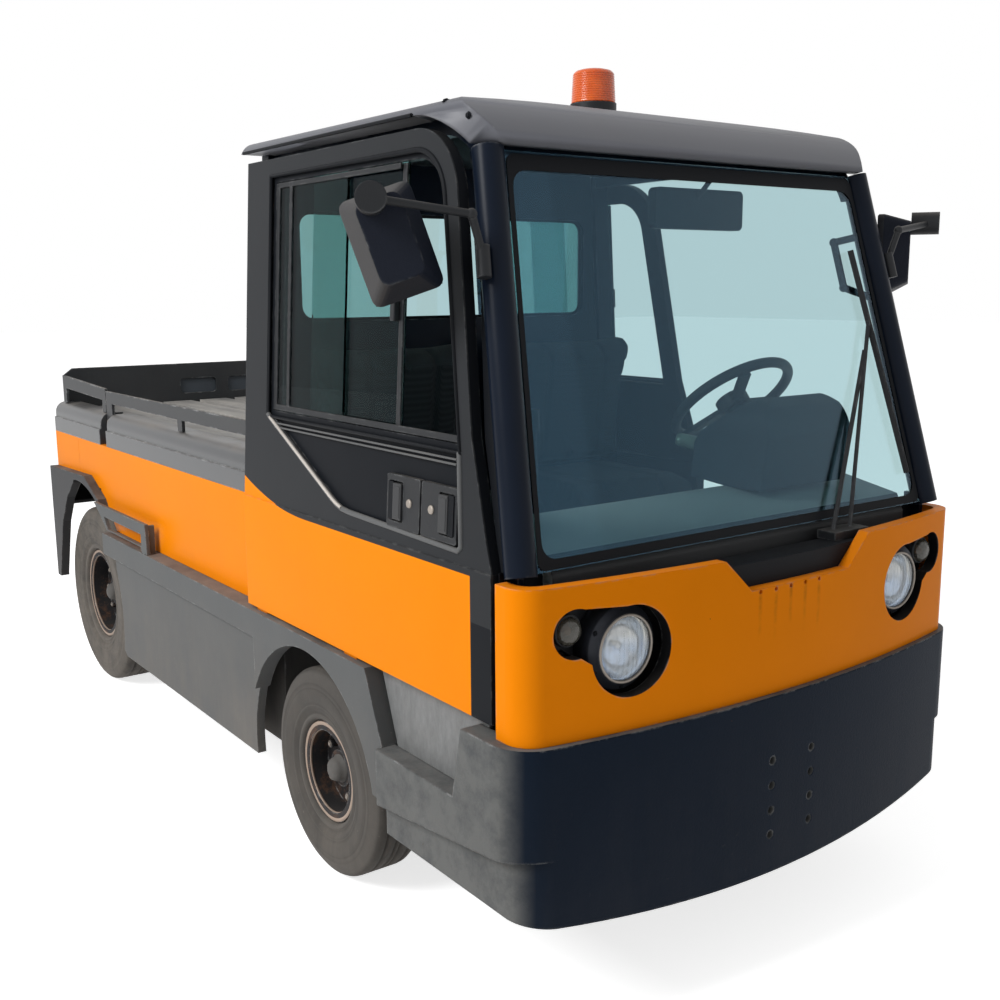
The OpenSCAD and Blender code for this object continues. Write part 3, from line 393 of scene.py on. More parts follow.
# Rims: pressed steel, black paint gone to rust around the nuts and the flange.
# Each has a rolled outer lip, a locking ring, a dust cap over the hub and a bare stud end in every nut.
def bolts(name, spots, axis, r, body, mat, steps=12):
    """Screw heads at several points, standing along an axis."""
    head = [(0.0, r * 0.62), (r * 0.6, r * 0.6), (r * 0.84, r * 0.5), (r * 0.9, r * 0.16),
            (r * 1.3, r * 0.14), (r * 1.3, -0.001), (0.0, -0.001)]
    bm = bmesh.new()
    for spot in spots:
        turned(bm, head, spot, axis, steps)
    return piece(name, bm, body, mat, False)


def ring(count, start=0.0):
    """Even angles all the way round."""
    return [start + i * 2 * math.pi / count for i in range(count)]


rim_steel = coat("rim_steel", (0.04, 0.036, 0.034), 0.6, dust=0.12, wear=0.8, bump=0.25, metallic=0.15,
                 scuff=0.9, gloss=0.2)
tree = rim_steel.node_tree
rusty = ramp(tree, mottle(tree, 17.0, 9.0, 0.72), 0.50, 0.72)
tint(rim_steel, between(tree, rusty, (0.013, 0.013, 0.015), (0.13, 0.062, 0.032)))
lip_rust = coat("lip_rust", (0.36, 0.27, 0.21), 0.5, dust=0.2, wear=1.2, bump=0.25, metallic=0.2, soft=0,
                scuff=0)
hub_grey = coat("hub_grey", (0.075, 0.072, 0.068), 0.65, dust=0.4, wear=0.8, bump=0.4, soft=0, scuff=0)
worn_steel = coat("worn_steel", (0.30, 0.265, 0.23), 0.5, dust=0.2, wear=0.9, bump=0.2, metallic=0.5, soft=0,
                  scuff=0)
rolled = [(math.cos(a), math.sin(a)) for a in ring(8) + [2 * math.pi]]
dust_cap = [(0.0, 0.030), (0.016, 0.0285), (0.026, 0.023), (0.031, 0.014), (0.033, 0.003), (0.037, 0.001),
            (0.037, -0.006), (0.0, -0.006)]
for end, nuts, stud_circle in (("front", 5, 0.0768), ("rear", 8, 0.0985)):
    for out, spot in both_sides:
        wheel, axle = f"{end}_{spot}_wheel", (0, out, 0)
        lo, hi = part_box(f"rim_{end}_{spot}")
        hub, R = (lo + hi) / 2, (hi.z - lo.z) / 2
        face = hi.y if out > 0 else lo.y
        dress(rim_steel, f"rim_{end}_{spot}")
        spun(f"rim_lip_{end}_{spot}", [(R - 0.006 + 0.0066 * x, 0.005 * y) for x, y in rolled],
             (hub.x, face - out * 0.0035, hub.z), axle, 72, wheel, lip_rust)
        spun(f"lock_ring_{end}_{spot}", [(R - 0.021 + 0.0045 * x, 0.0045 * y) for x, y in rolled],
             (hub.x, face - out * 0.005, hub.z), axle, 72, wheel, lip_rust)
        studs = [hub + Vector((stud_circle * math.cos(a), out * 0.0202, stud_circle * math.sin(a)))
                 for a in ring(nuts)]
        bolts(f"wheel_studs_{end}_{spot}", studs, axle, 0.0065, wheel, worn_steel)
        spun(f"hub_cap_{end}_{spot}", dust_cap, (hub.x, hub.y + out * 0.026, hub.z), axle, 32, wheel,
             hub_grey)

# Front bumper: a thick bowed iron casting, painted blue-black and chipped along its upper lip.
# Its ends are painted lighter, partly chalky paint and partly painted light where the sun falls on the sides,
# and mud specks cover its lower half.
bumper_blue = (0.0050, 0.0110, 0.0225)
bumper_paint = coat("bumper_paint", bumper_blue, 0.42, dust=0.06, wear=0.35, bump=0.22, soft=0.008, scuff=0.8,
                    gloss=0.05)
tree = bumper_paint.node_tree
# Faces turned away from the front are painted lighter: partly chalked paint, partly painted light on the
# sunlit sides.
chalk_and_side_light = times(tree, ramp(tree, facing(tree)["X"], 0.75, 0.25),
               ramp(tree, mottle(tree, 14.0, 9.0, 0.7), 0.0, 0.55))
tint(bumper_paint, between(tree, chalk_and_side_light, bumper_blue, (0.135, 0.138, 0.135)))
dress(bumper_paint, "front_bumper")

# Sides: pressed steel skirts with a ledge, fenders and door guards, all in dark grey paint.
# The step panel under each door is scraped down to bare metal by boots.
skirt_grey = coat("skirt_grey", (0.076, 0.081, 0.083), 0.5, dust=0.7, wear=0.6, bump=0.14, scuff=0.7,
                  gloss=0.25)
fender_black = coat("fender_black", (0.022, 0.023, 0.026), 0.5, dust=0.5, wear=0.6, bump=0.14, scuff=0.5,
                    gloss=0.25)
step_grey = coat("step_grey", (0.17, 0.18, 0.185), 0.55, dust=0.4, wear=0.5, bump=0.15, scuff=0.5)
tree = step_grey.node_tree
scrapes = ramp(tree, mottle(tree, 26.0, 9.0, 0.75, (1.4, 1, 0.5)), 0.30, 0.75)
tint(step_grey, between(tree, scrapes, (0.115, 0.12, 0.122), (0.22, 0.226, 0.226)))
dress(skirt_grey, "skirt_right", "skirt_left", "door_guards")
dress(fender_black, "rear_fenders")
dress(step_grey, "step_panels")


# Rear body: orange sheet over the battery, black inside the wheel housings, with black plastic shoulders.
# The slatted deck is scraped to brown where loads slide, and tube rails are bolted on around it.
def within(tree, value, low, high):
    """1 between two limits."""
    return times(tree, calc(tree, "GREATER_THAN", value, low), calc(tree, "LESS_THAN", value, high))


def body_paint(name, scuff=0.25):
    """The tractor's orange."""
    return coat(name, orange, 0.32, dust=0.1, wear=0.14, bump=0.03, scuff=scuff, gloss=0.03)


orange = (0.92, 0.252, 0.001)
sheet_paint = body_paint("orange_paint")
# Full scuff runs a light line along the shoulder and rail edges: partly worn edges, partly a painted
# highlight along the step.
shoulder_black = coat("shoulder_plastic", (0.023, 0.026, 0.030), 0.24, dust=0.5, wear=0.5, bump=0.06,
                      soft=0.006, scuff=1.0, gloss=0.9)
rail_black = coat("rail_paint", (0.021, 0.023, 0.026), 0.45, dust=0.6, wear=0.5, bump=0.12, scuff=1.0,
                  gloss=0.4)
deck_metal = coat("deck_metal", (0.05, 0.05, 0.05), 0.55, dust=0.3, wear=0.8, bump=0.25, scuff=0.8)
tree = deck_metal.node_tree
slid_on = ramp(tree, mottle(tree, 5.0, 9.0, 0.7, (0.3, 2, 1)), 0.4, 0.68)
tint(deck_metal, between(tree, slid_on, (0.20, 0.197, 0.192), (0.46, 0.435, 0.40)))
tree = sheet_paint.node_tree
spot = place_on(tree)
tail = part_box("rear_cover")[0].x
housing = times(tree, calc(tree, "LESS_THAN", spot["Z"], 0.775),
                within(tree, spot["X"], tail + 0.01, ax - 1.70))
tint(sheet_paint, between(tree, housing, orange, (0.012, 0.012, 0.013)))
dress(sheet_paint, "side_panels", "rear_cover")
dress(shoulder_black, "deck_shoulders")
dress(rail_black, "deck_rails")
dress(deck_metal, "deck_plate")

rail_lo, rail_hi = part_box("deck_rails")
post_x = ax - 1.637
for out, spot in both_sides:
    foot = [(post_x + dx, out * rail_hi.y, z) for dx in (-0.018, 0.018) for z in (0.975, 1.02)]
    bolts(f"rail_bolts_{spot}", foot, (0, out, 0), 0.008, "chassis", worn_steel)


def slab(bm, lo, hi, bevel, place=Matrix.Identity(4)):
    """Adds a box given in a plane's own coordinates."""
    made = bmesh.ops.create_cube(bm, size=1)["verts"]
    bmesh.ops.scale(bm, verts=made, vec=Vector(hi) - Vector(lo))
    bmesh.ops.translate(bm, verts=made, vec=(Vector(lo) + Vector(hi)) / 2)
    bmesh.ops.transform(bm, verts=made, matrix=place)
    edges = dict.fromkeys(e for v in made for e in v.link_edges)
    bmesh.ops.bevel(bm, geom=list(edges), offset=bevel, segments=2, profile=0.5, affect="EDGES", material=-1)


board_plate = coat("board_plate", (0.045, 0.055, 0.068), 0.5, dust=0.2, wear=0.6, bump=0.1)
bm = bmesh.new()
board_x = rail_lo.x + 0.0032
slab(bm, (board_x - 0.0008, -0.173, 1.049), (board_x + 0.0008, 0.267, 1.133), 0.0006)
piece("board_backing", bm, "chassis", board_plate, False)


# Rear lamps: red lenses on a black base, with fluted faces.
# The coupling pin is turned steel and hangs in the jaw on its own head.
def ribs(tree, scale, direction="Y"):
    """Even ridges across the part."""
    wave = tree.nodes.new("ShaderNodeTexWave")
    wave.bands_direction = direction
    wave.inputs["Scale"].default_value = scale
    tree.links.new(tree.nodes.new("ShaderNodeTexCoord").outputs["Object"], wave.inputs["Vector"])
    return wave.outputs["Fac"]


def relief(mat, height):
    """Gives a finish a raised pattern in place of its grain."""
    mat.node_tree.links.new(height, mat.node_tree.nodes["bumps"].inputs["Height"])


red_lens = coat("red_lens", (0.38, 0.008, 0.008), 0.18, dust=0.1, wear=0.3, bump=0.05, clear=0.4, scuff=0)
relief(red_lens, ribs(red_lens.node_tree, 40))
dress(red_lens, "rear_lamps")
jaw_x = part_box("tow_coupling")[0].x + 0.06
pin = [(0.0, 0.545), (0.012, 0.545), (0.015, 0.538), (0.0155, 0.520), (0.030, 0.516), (0.033, 0.508),
       (0.033, 0.4945), (0.0175, 0.4935), (0.0175, 0.335), (0.013, 0.322), (0.0, 0.322)]
spun("coupling_pin", pin, (jaw_x, 0, 0), (0, 0, 1), 32, "chassis", worn_steel)

# Cab floor and frame: black painted tubes and plates, with a moulded roof shell screwed on top.
# The floor wears a ribbed rubber mat, and the roof's front corners are drawn in.
cab_black = coat("cab_black", (0.0050, 0.0090, 0.0185), 0.28, dust=0.04, wear=0.5, bump=0.03, gloss=0.09)
floor_rubber = coat("floor_rubber", (0.016, 0.016, 0.017), 0.75, dust=0.5, wear=0.5, bump=0.6, scuff=0)
relief(floor_rubber, ribs(floor_rubber.node_tree, 22))
roof_plastic = coat("roof_plastic", (0.112, 0.116, 0.134), 0.42, dust=0.12, wear=0.35, bump=0.05, soft=0.008,
                    gloss=0.4)
dress(cab_black, "cab_frame", "cab_rear_wall")
dress(floor_rubber, "cab_floor")
brow_x, brow_long, drawn_in = ax + 0.4665, 0.215, 0.165
bm = bmesh.new()
bm.from_mesh(nodes["roof"].data)
bmesh.ops.remove_doubles(bm, verts=bm.verts, dist=1e-5)
for vert in bm.verts:
    droop = min(max((vert.co.x - brow_x) / brow_long, 0.0), 1.0)
    vert.co.y *= 1 - drawn_in * droop ** 2
roof_skin = BVHTree.FromBMesh(bm)
shell = piece("roof_shell", bm, "chassis", roof_plastic, False)
shell.data.shade_smooth()
shell.data.set_sharp_from_angle(angle=math.radians(35))
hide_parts("roof")


def trim(name, paths, radius, body, mat, cyclic=False):
    """Round bead along one or more lists of points."""
    curve = bpy.data.curves.new(name, "CURVE")
    curve.dimensions = "3D"
    curve.bevel_depth, curve.bevel_resolution, curve.use_fill_caps = radius, 3, True
    for path in paths:
        spline = curve.splines.new("POLY")
        spline.points.add(len(path) - 1)
        for point, co in zip(spline.points, path):
            point.co = (*co, 1)
        spline.use_cyclic_u = cyclic
    curve.materials.append(mat)
    obj = bpy.data.objects.new(name, curve)
    scene.collection.objects.link(obj)
    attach(obj, body)


seal = coat("rubber_seal", (0.0045, 0.0055, 0.0075), 0.5, dust=0.02, wear=0.4, bump=0.06, soft=0, scuff=0,
            gloss=0.1)
roof_lo, roof_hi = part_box("roof")
gutter_z = 1.828
for out, spot in both_sides:
    gutter_y = out * (roof_hi.y - 0.004)
    trim(f"roof_gutter_{spot}", [[(roof_lo.x + 0.012, gutter_y, gutter_z), (ax + 0.46, gutter_y, gutter_z)]],
         0.004, "chassis", seal)
    for label, x, z in (("upper", 0.515, 1.90), ("lower", 0.60, 1.86)):
        seat, normal, _, _ = roof_skin.ray_cast(Vector((ax + x, out * 0.80, z)), Vector((0, -out, -0.22)))
        bolts(f"roof_bolt_{label}_{spot}", [seat], normal, 0.006, "chassis", seal, 16)

# Front panel: orange sheet bowed to the bumper's curve, with lamp openings and a notch for the wiper.
# Rain has drawn dirt down from the drain holes under the notch; the cut edges of the openings are black.
# A black liner closes each corner behind it.
panel_paint = body_paint("panel_paint", 0.55)
tree = panel_paint.node_tree
spot = place_on(tree)
drain_pitch, drain_first = 0.047, 0.010
hole = calc(tree, "DIVIDE", calc(tree, "ADD", spot["Y"], drain_first), drain_pitch)
off = calc(tree, "ABSOLUTE", calc(tree, "SUBTRACT", hole, calc(tree, "ROUND", hole)))
trail = times(tree, ramp(tree, off, 0.16, 0.03), calc(tree, "LESS_THAN", calc(tree, "ABSOLUTE", hole), 2.4))
run = times(tree, ramp(tree, spot["Z"], 0.745, 0.85), calc(tree, "LESS_THAN", spot["Z"], 0.862))
dirt = times(tree, trail, run, ramp(tree, mottle(tree, 30.0, 5.0), 0.35, 0.75), 0.55)
stained = between(tree, dirt, orange, (0.10, 0.035, 0.006))
in_hole = times(tree, calc(tree, "LESS_THAN", calc(tree, "ABSOLUTE", facing(tree)["X"]), 0.4),
                within(tree, calc(tree, "ABSOLUTE", spot["Y"]), 0.32, 0.615),
                within(tree, spot["Z"], 0.67, 0.895))
tint(panel_paint, between(tree, in_hole, stained, (0.008, 0.008, 0.009)))
dress(panel_paint, "front_panel")
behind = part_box("front_panel")[0].x - 0.0045
for out, spot in both_sides:
    near, far = sorted((out * 0.562, out * 0.668))
    bm = bmesh.new()
    slab(bm, (behind - 0.001, near, 0.642), (behind + 0.001, far, 0.955), 0.0008)
    piece(f"corner_liner_{spot}", bm, "chassis", seal, False)

# Lamps: fluted glass in a dark bezel with screws, a bright bowl behind it, and a small clear indicator.
# Each pair sits in a black pod behind its opening.
black_plastic = coat("black_plastic", (0.010, 0.0115, 0.014), 0.45, dust=0.2, wear=0.4, bump=0.12, scuff=0.3,
                     gloss=0.25)
dress(seal, "cowl")
dress(black_plastic, "lamp_pods", "cab_mirror", "control_lever", "wiper", "beacon_base")
reflector, tree, shader = plain("reflector")
shader.inputs["Metallic"].default_value = 1
shader.inputs["Roughness"].default_value = 0.15
# The bowl is coloured by height as a painted reflection: blue in its lower half, warm grey in its upper half.
bright = between(tree, ramp(tree, place_on(tree)["Z"], 0.770, 0.800), (0.60, 0.76, 1.0), (0.66, 0.65, 0.60))
tarnish = ramp(tree, mottle(tree, 40.0), 0.45, 0.75)
tree.links.new(between(tree, tarnish, bright, (0.40, 0.42, 0.44)), shader.inputs["Base Color"])
lamp_glass, tree, shader = plain("lamp_glass")
shader.inputs["Base Color"].default_value = (0.88, 0.92, 0.94, 1)
shader.inputs["Alpha"].default_value = 0.3
ridges = tree.nodes.new("ShaderNodeBump")
ridges.inputs["Strength"].default_value = 0.7
ridges.inputs["Distance"].default_value = 0.003
tree.links.new(ribs(tree, 26), ridges.inputs["Height"])
tree.links.new(ridges.outputs["Normal"], shader.inputs["Normal"])
tree.links.new(spread(tree, mottle(tree, 25.0), 0.04, 0.16), shader.inputs["Roughness"])
smoke_lens = coat("smoke_lens", (0.115, 0.108, 0.088), 0.16, dust=0.1, wear=0.5, bump=0.05, soft=0, scuff=0,
                  clear=0.3)
smoke_lens.node_tree.nodes["Principled BSDF"].inputs["Alpha"].default_value = 0.6
bezel_grey = coat("bezel_grey", (0.026, 0.029, 0.038), 0.45, dust=0.1, wear=0.4, bump=0.1, scuff=0.3,
                  gloss=0.25)
amber_bulb = coat("amber_bulb", (0.75, 0.24, 0.03), 0.3, dust=0.0, wear=0.4, bump=0.02, soft=0, scuff=0,
                  clear=0.3)
headlamp_parts = (
    ("bowl", 48, reflector, "lamp_glass", (
        (0.0, 0.004), (0.03, 0.007), (0.05, 0.018), (0.062, 0.04), (0.0645, 0.055), (0.0645, 0.001),
        (0.0, 0.001))),
    ("bulb", 24, reflector, "lamp_glass", (
        (0.0, 0.016), (0.008, 0.015), (0.010, 0.030), (0.0085, 0.038), (0.0, 0.041))),
    ("glass", 48, lamp_glass, "lamp_glass", (
        (0.0, 0.064), (0.03, 0.0625), (0.05, 0.059), (0.065, 0.052), (0.065, 0.056), (0.05, 0.063),
        (0.03, 0.0665), (0.0, 0.0677))),
    ("bezel", 48, bezel_grey, "black_plastic", (
        (0.0655, 0.0), (0.0655, 0.059), (0.069, 0.061), (0.072, 0.057), (0.074, 0.048), (0.086, 0.046),
        (0.087, 0.043), (0.087, 0.0), (0.0655, 0.0))),
    ("ring", 48, worn_steel, "lamp_glass", (
        (0.0652, 0.057), (0.0652, 0.0612), (0.068, 0.0625), (0.0705, 0.0605), (0.0705, 0.057),
        (0.0652, 0.057))))
indicator_parts = (
    ("ring", 32, black_plastic, "black_plastic", (
        (0.0285, 0.0), (0.0285, 0.033), (0.030, 0.035), (0.033, 0.031), (0.033, 0.0), (0.0285, 0.0))),
    ("lens", 32, smoke_lens, "lamp_glass", (
        (0.0, 0.046), (0.015, 0.0445), (0.0235, 0.041), (0.026, 0.035), (0.026, 0.012), (0.0282, 0.012),
        (0.0282, 0.036), (0.025, 0.043), (0.015, 0.0475), (0.0, 0.049))),
    ("bulb", 24, amber_bulb, "amber_lens", (
        (0.0, 0.034), (0.008, 0.032), (0.0115, 0.024), (0.009, 0.006), (0.026, 0.004), (0.026, 0.001),
        (0.0, 0.001))))
pod_face, lamp_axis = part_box("lamp_pods")[1].x, (1, 0, 0)
headlamp_y, headlamp_z, screw_r, screw_out = 0.438, 0.789, 0.0805, 0.0465
indicator_y, indicator_z = 0.564, 0.841
for out, spot in both_sides:
    at = Vector((pod_face, out * headlamp_y, headlamp_z))
    made = {label: spun(f"headlamp_{label}_{spot}", profile, at, lamp_axis, steps, "chassis", mat)
            for label, steps, mat, slot, profile in headlamp_parts}
    screws = [at + Vector((screw_out, screw_r * math.cos(a), screw_r * math.sin(a)))
              for a in ring(6, math.radians(30))]
    bolts(f"headlamp_screws_{spot}", screws, lamp_axis, 0.0045, "chassis", seal)
    if out < 0:
        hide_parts("headlamps")
    at = Vector((pod_face, out * indicator_y, indicator_z))
    made = {label: spun(f"indicator_{label}_{spot}", profile, at, lamp_axis, steps, "chassis", mat)
            for label, steps, mat, slot, profile in indicator_parts}
    if out < 0:
        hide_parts("indicators")

# Dashboard, steering pod and wheel: grained mouldings; the shelf top is painted pale as painted light and
# reflection, and its forward faces below the front edge are painted near-black as painted shade. Two dials
# face the driver, a lever stands out of the column, and the wheel has a horn button.
painted_light_shelf = (0.27, 0.30, 0.30)
dash_grey = coat("dash_plastic", painted_light_shelf, 0.6, dust=0.2, wear=0.25, bump=0.15, soft=0.012, scuff=0)
pod_blue = coat("pod_plastic", (0.022, 0.033, 0.043), 0.5, dust=0.1, wear=0.3, bump=0.15, soft=0.012, scuff=0,
                gloss=0.25)
inner_black = coat("inner_black", (0.014, 0.015, 0.017), 0.55, dust=0.1, wear=0.4, bump=0.12, scuff=0)
lever_green = coat("lever_grip", (0.16, 0.19, 0.15), 0.5, dust=0.1, wear=0.3, bump=0.08, soft=0, scuff=0)
dial_white = coat("dial_face", (0.55, 0.55, 0.52), 0.5, dust=0.05, wear=0.2, bump=0.02, soft=0, scuff=0)
# The shelf's pale grey is painted light and reflection; faces turned forward are painted near-black as
# painted shade.
tree = dash_grey.node_tree
painted_shade_front = calc(tree, "GREATER_THAN", facing(tree)["X"], 0.3)
tint(dash_grey, between(tree, painted_shade_front, painted_light_shelf, (0.006, 0.007, 0.009)))
dress(dash_grey, "dashboard")
dress(pod_blue, "steering_pod")
dress(inner_black, "steering_wheel", "seat_bases")
pod_slope = Vector((-0.084, 0, 0.136)).normalized()
dial_ring = [(0.037, 0.0), (0.037, 0.006), (0.040, 0.009), (0.044, 0.007), (0.045, 0.0), (0.037, 0.0)]
dial_disc = [(0.0, 0.002), (0.0372, 0.002), (0.0372, 0.0), (0.0, 0.0)]
for y in (0.245, 0.355):
    at = Vector((ax + 0.588, y, 1.179)) + pod_slope * 0.0005
    mark = round(y * 1000)
    spun(f"dial_ring_{mark}", dial_ring, at, pod_slope, 40, "chassis", inner_black)
    spun(f"dial_face_{mark}", dial_disc, at, pod_slope, 40, "chassis", dial_white)
    pivot = at + pod_slope * 0.0035
    needle = [pivot, pivot + Vector((0.012, 0.022, 0.0074))]
    trim(f"dial_needle_{mark}", [needle], 0.001, "chassis", red_lens)
stalk = Vector((ax + 0.53, 0.25, 1.075))
grip = Vector((ax + 0.455, 0.145, 1.108))
trim("column_stalk", [[stalk, grip]], 0.006, "chassis", inner_black)
handle = [(0.0, -0.012), (0.013, -0.010), (0.017, 0.0), (0.019, 0.05), (0.018, 0.105), (0.013, 0.117),
          (0.0, 0.12)]
spun("column_grip", handle, grip, stalk - grip, 28, "chassis", lever_green)
tilt = math.radians(40)
wheel_axis = Vector((-math.sin(tilt), 0, math.cos(tilt)))
button = [(0.0, 0.015), (0.02, 0.014), (0.03, 0.010), (0.034, 0.0065), (0.034, 0.004), (0.0, 0.004)]
wheel_hub = Vector((ax + 0.48, 0.3, 1.2))
spun("horn_button", button, wheel_hub, wheel_axis, 40, "steering_wheel", pod_blue)

# Seats: foam cushions and backs in dark woven cloth, puffed by a pressure simulation and sewn in three
# channels. Both seats are the same, so one is puffed and the other is its copy.
seat_cloth = coat("seat_cloth", (0.022, 0.024, 0.028), 0.85, dust=0.1, wear=0.5, bump=0.35, soft=0, scuff=0,
                  gloss=0.2)
tree = seat_cloth.node_tree
along, across, up = (ribs(tree, 130, direction) for direction in ("X", "Y", "Z"))
threads = calc(tree, "ADD", calc(tree, "ADD", along, across), up)
relief(seat_cloth, threads)
tint(seat_cloth, between(tree, ramp(tree, threads, 0.6, 2.4), (0.014, 0.015, 0.018), (0.042, 0.045, 0.052)))
tucked_in, swell = (0.94, 0.95, 0.94), 0.022
seam_deep, seam_wide, seam_place = 0.007, 0.009, 0.22
for node, label in (("seat_cushions", "seat_cushion"), ("seat_backs", "seat_back")):
    pad = nodes[node].data.copy()
    bm = bmesh.new()
    bm.from_mesh(pad)
    bmesh.ops.remove_doubles(bm, verts=bm.verts, dist=1e-5)
    bmesh.ops.delete(bm, geom=[v for v in bm.verts if v.co.y < 0], context="VERTS")
    xs, ys, zs = ([v.co[i] for v in bm.verts] for i in range(3))
    mid = Vector(((min(xs) + max(xs)) / 2, (min(ys) + max(ys)) / 2, (min(zs) + max(zs)) / 2))
    wide = max(ys) - min(ys)
    bmesh.ops.translate(bm, verts=bm.verts, vec=-mid)
    bmesh.ops.scale(bm, verts=bm.verts, vec=tucked_in)
    bm.to_mesh(pad)
    bm.free()
    foam = bpy.data.objects.new("foam", pad)
    scene.collection.objects.link(foam)
    fine = foam.modifiers.new("fine", "REMESH")
    fine.mode, fine.voxel_size = "VOXEL", 0.007
    unpuffed = bpy.data.meshes.new_from_object(foam.evaluated_get(bpy.context.evaluated_depsgraph_get()))
    foam.modifiers.clear()
    foam.data = unpuffed
    shape = [v.co.copy() for v in unpuffed.vertices]
    cloth = foam.modifiers.new("swell", "CLOTH")
    cloth.settings.use_pressure = True
    cloth.settings.uniform_pressure_force = 4
    cloth.settings.effector_weights.gravity = 0
    cloth.settings.quality = 4
    cloth.point_cache.frame_start, cloth.point_cache.frame_end = 1, 20
    for step in range(1, 21):
        scene.frame_set(step)
    puffed = bpy.data.meshes.new_from_object(foam.evaluated_get(bpy.context.evaluated_depsgraph_get()))
    for k, vert in enumerate(puffed.vertices):
        move = vert.co - shape[k]
        shape[k] = shape[k] + move * min(1.0, swell / max(move.length, 1e-9))
    scene.frame_set(1)
    bpy.data.objects.remove(foam)
    for spot, y in (("left", mid.y), ("right", -mid.y)):
        bm = bmesh.new()
        bm.from_mesh(unpuffed)
        bm.verts.ensure_lookup_table()
        for k, co in enumerate(shape):
            bm.verts[k].co = co
        bmesh.ops.subdivide_edges(bm, edges=bm.edges, cuts=1, use_grid_fill=True, smooth=0.6)
        bm.normal_update()
        for vert in bm.verts:
            near = abs(abs(vert.co.y) - wide * seam_place)
            show = vert.normal.z if label == "seat_cushion" else vert.normal.x
            if show > 0.3:
                vert.co -= vert.normal * seam_deep * math.exp(-(near / seam_wide) ** 2)
        bmesh.ops.translate(bm, verts=bm.verts, vec=(mid.x, y, mid.z))
        pad = piece(f"{label}_{spot}", bm, "chassis", seat_cloth)
        if spot == "left":
            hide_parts(node)

# Glass: tinted panes, faintly smeared, greener in the doors. The windscreen is bonded in behind a black
# border. A rubber strip fills the corner beside each pillar, and the rear window sits in a rubber section.
window_glass, tree, shader = plain("window_glass")
shader.inputs["Base Color"].default_value = (0.40, 0.575, 0.60, 1)
shader.inputs["Transmission Weight"].default_value = 1
shader.inputs["IOR"].default_value = 1.45
shader.inputs["Specular IOR Level"].default_value = 0.28
# The reflections are tinted blue as a painted reflection of sky; the door glass copies this.
shader.inputs["Specular Tint"].default_value = (0.30, 0.64, 1.0, 1)
tree.links.new(spread(tree, mottle(tree, 7.0), 0.0, 0.03), shader.inputs["Roughness"])
door_glass = window_glass.copy()
door_glass.name = "door_glass"
shader = door_glass.node_tree.nodes["Principled BSDF"]
shader.inputs["IOR"].default_value = 1.12
shader.inputs["Base Color"].default_value = (0.36, 0.55, 0.53, 1)
dress(window_glass, "windscreen", "rear_window")
dress(door_glass, "door_right_glass", "door_left_glass")
low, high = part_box("windscreen")
tops = [v.co for v in nodes["windscreen"].data.vertices if v.co.z > high.z - 0.01]
half_low, half_top = high.y, max(co.y for co in tops)
top_x, top_z = max(co.x for co in tops), max(co.z for co in tops)
foot = Vector((high.x, 0, low.z + 0.0015))
rise = Vector((top_x - foot.x, 0, top_z - foot.z))
screen_out = Vector((rise.z, 0, -rise.x)).normalized()
tall = rise.length - 0.004
rise.normalize()
taper = (half_low - half_top) / tall
bm = bmesh.new()
for side_band, foot_band, top_band, r in ((0.002, 0.002, 0.002, 0.02), (0.014, 0.022, 0.034, 0.035)):
    loop = []
    for y, s in ((-half_low, foot_band), (half_low, foot_band), (half_top, tall - top_band),
                 (-half_top, tall - top_band)):
        y -= math.copysign(side_band + taper * (foot_band if s < 0.1 else -top_band), y)
        loop.append(bm.verts.new(foot + rise * s + Vector((0, y, 0)) + screen_out * 0.0006))
    bm.faces.new(loop)
    bmesh.ops.bevel(bm, geom=loop, offset=r, segments=6, profile=0.5, affect="VERTICES", material=-1)
    bmesh.ops.delete(bm, geom=list(bm.faces), context="FACES_ONLY")
bmesh.ops.bridge_loops(bm, edges=bm.edges)
bmesh.ops.recalc_face_normals(bm, faces=bm.faces)
bmesh.ops.solidify(bm, geom=list(bm.faces), thickness=-0.0012)
piece("screen_border", bm, "chassis", seal, False)
door_edge = ((0.954, 0.787), (1.014, 0.764), (1.11, 0.734), (1.20, 0.7045), (1.42, 0.667), (1.64, 0.630),
             (1.71, 0.600))
pillar_foot, pillar_tall, pillar_y, pillar_lean = 0.947, 0.806, 0.662, 0.077
pillar_x, pillar_rake = 0.828, 0.204
for out, spot in both_sides:
    bm = bmesh.new()
    rails = []
    for z, door_x in door_edge:
        part = (z - pillar_foot) / pillar_tall
        y = out * (pillar_y - pillar_lean * part)
        rails.append([bm.verts.new((ax + x, y, z)) for x in (door_x + 0.006, pillar_x - pillar_rake * part)])
    for one, two in zip(rails, rails[1:]):
        bm.faces.new((one[0], one[1], two[1], two[0]))
    bmesh.ops.recalc_face_normals(bm, faces=bm.faces)
    bmesh.ops.solidify(bm, geom=list(bm.faces), thickness=0.012)
    piece(f"pillar_seal_{spot}", bm, "chassis", seal, False, 0.002)
low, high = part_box("rear_window")
seal_x, r = high.x - 0.003, 0.04
outline = []
for cy, cz, start in ((high.y - r, high.z - r, 0), (low.y + r, high.z - r, 90), (low.y + r, low.z + r, 180),
                      (high.y - r, low.z + r, 270)):
    for a in (math.radians(start + 15 * i) for i in range(7)):
        outline.append((seal_x, cy + r * math.cos(a), cz + r * math.sin(a)))
trim("rear_window_seal", [outline], 0.008, "chassis", seal, True)

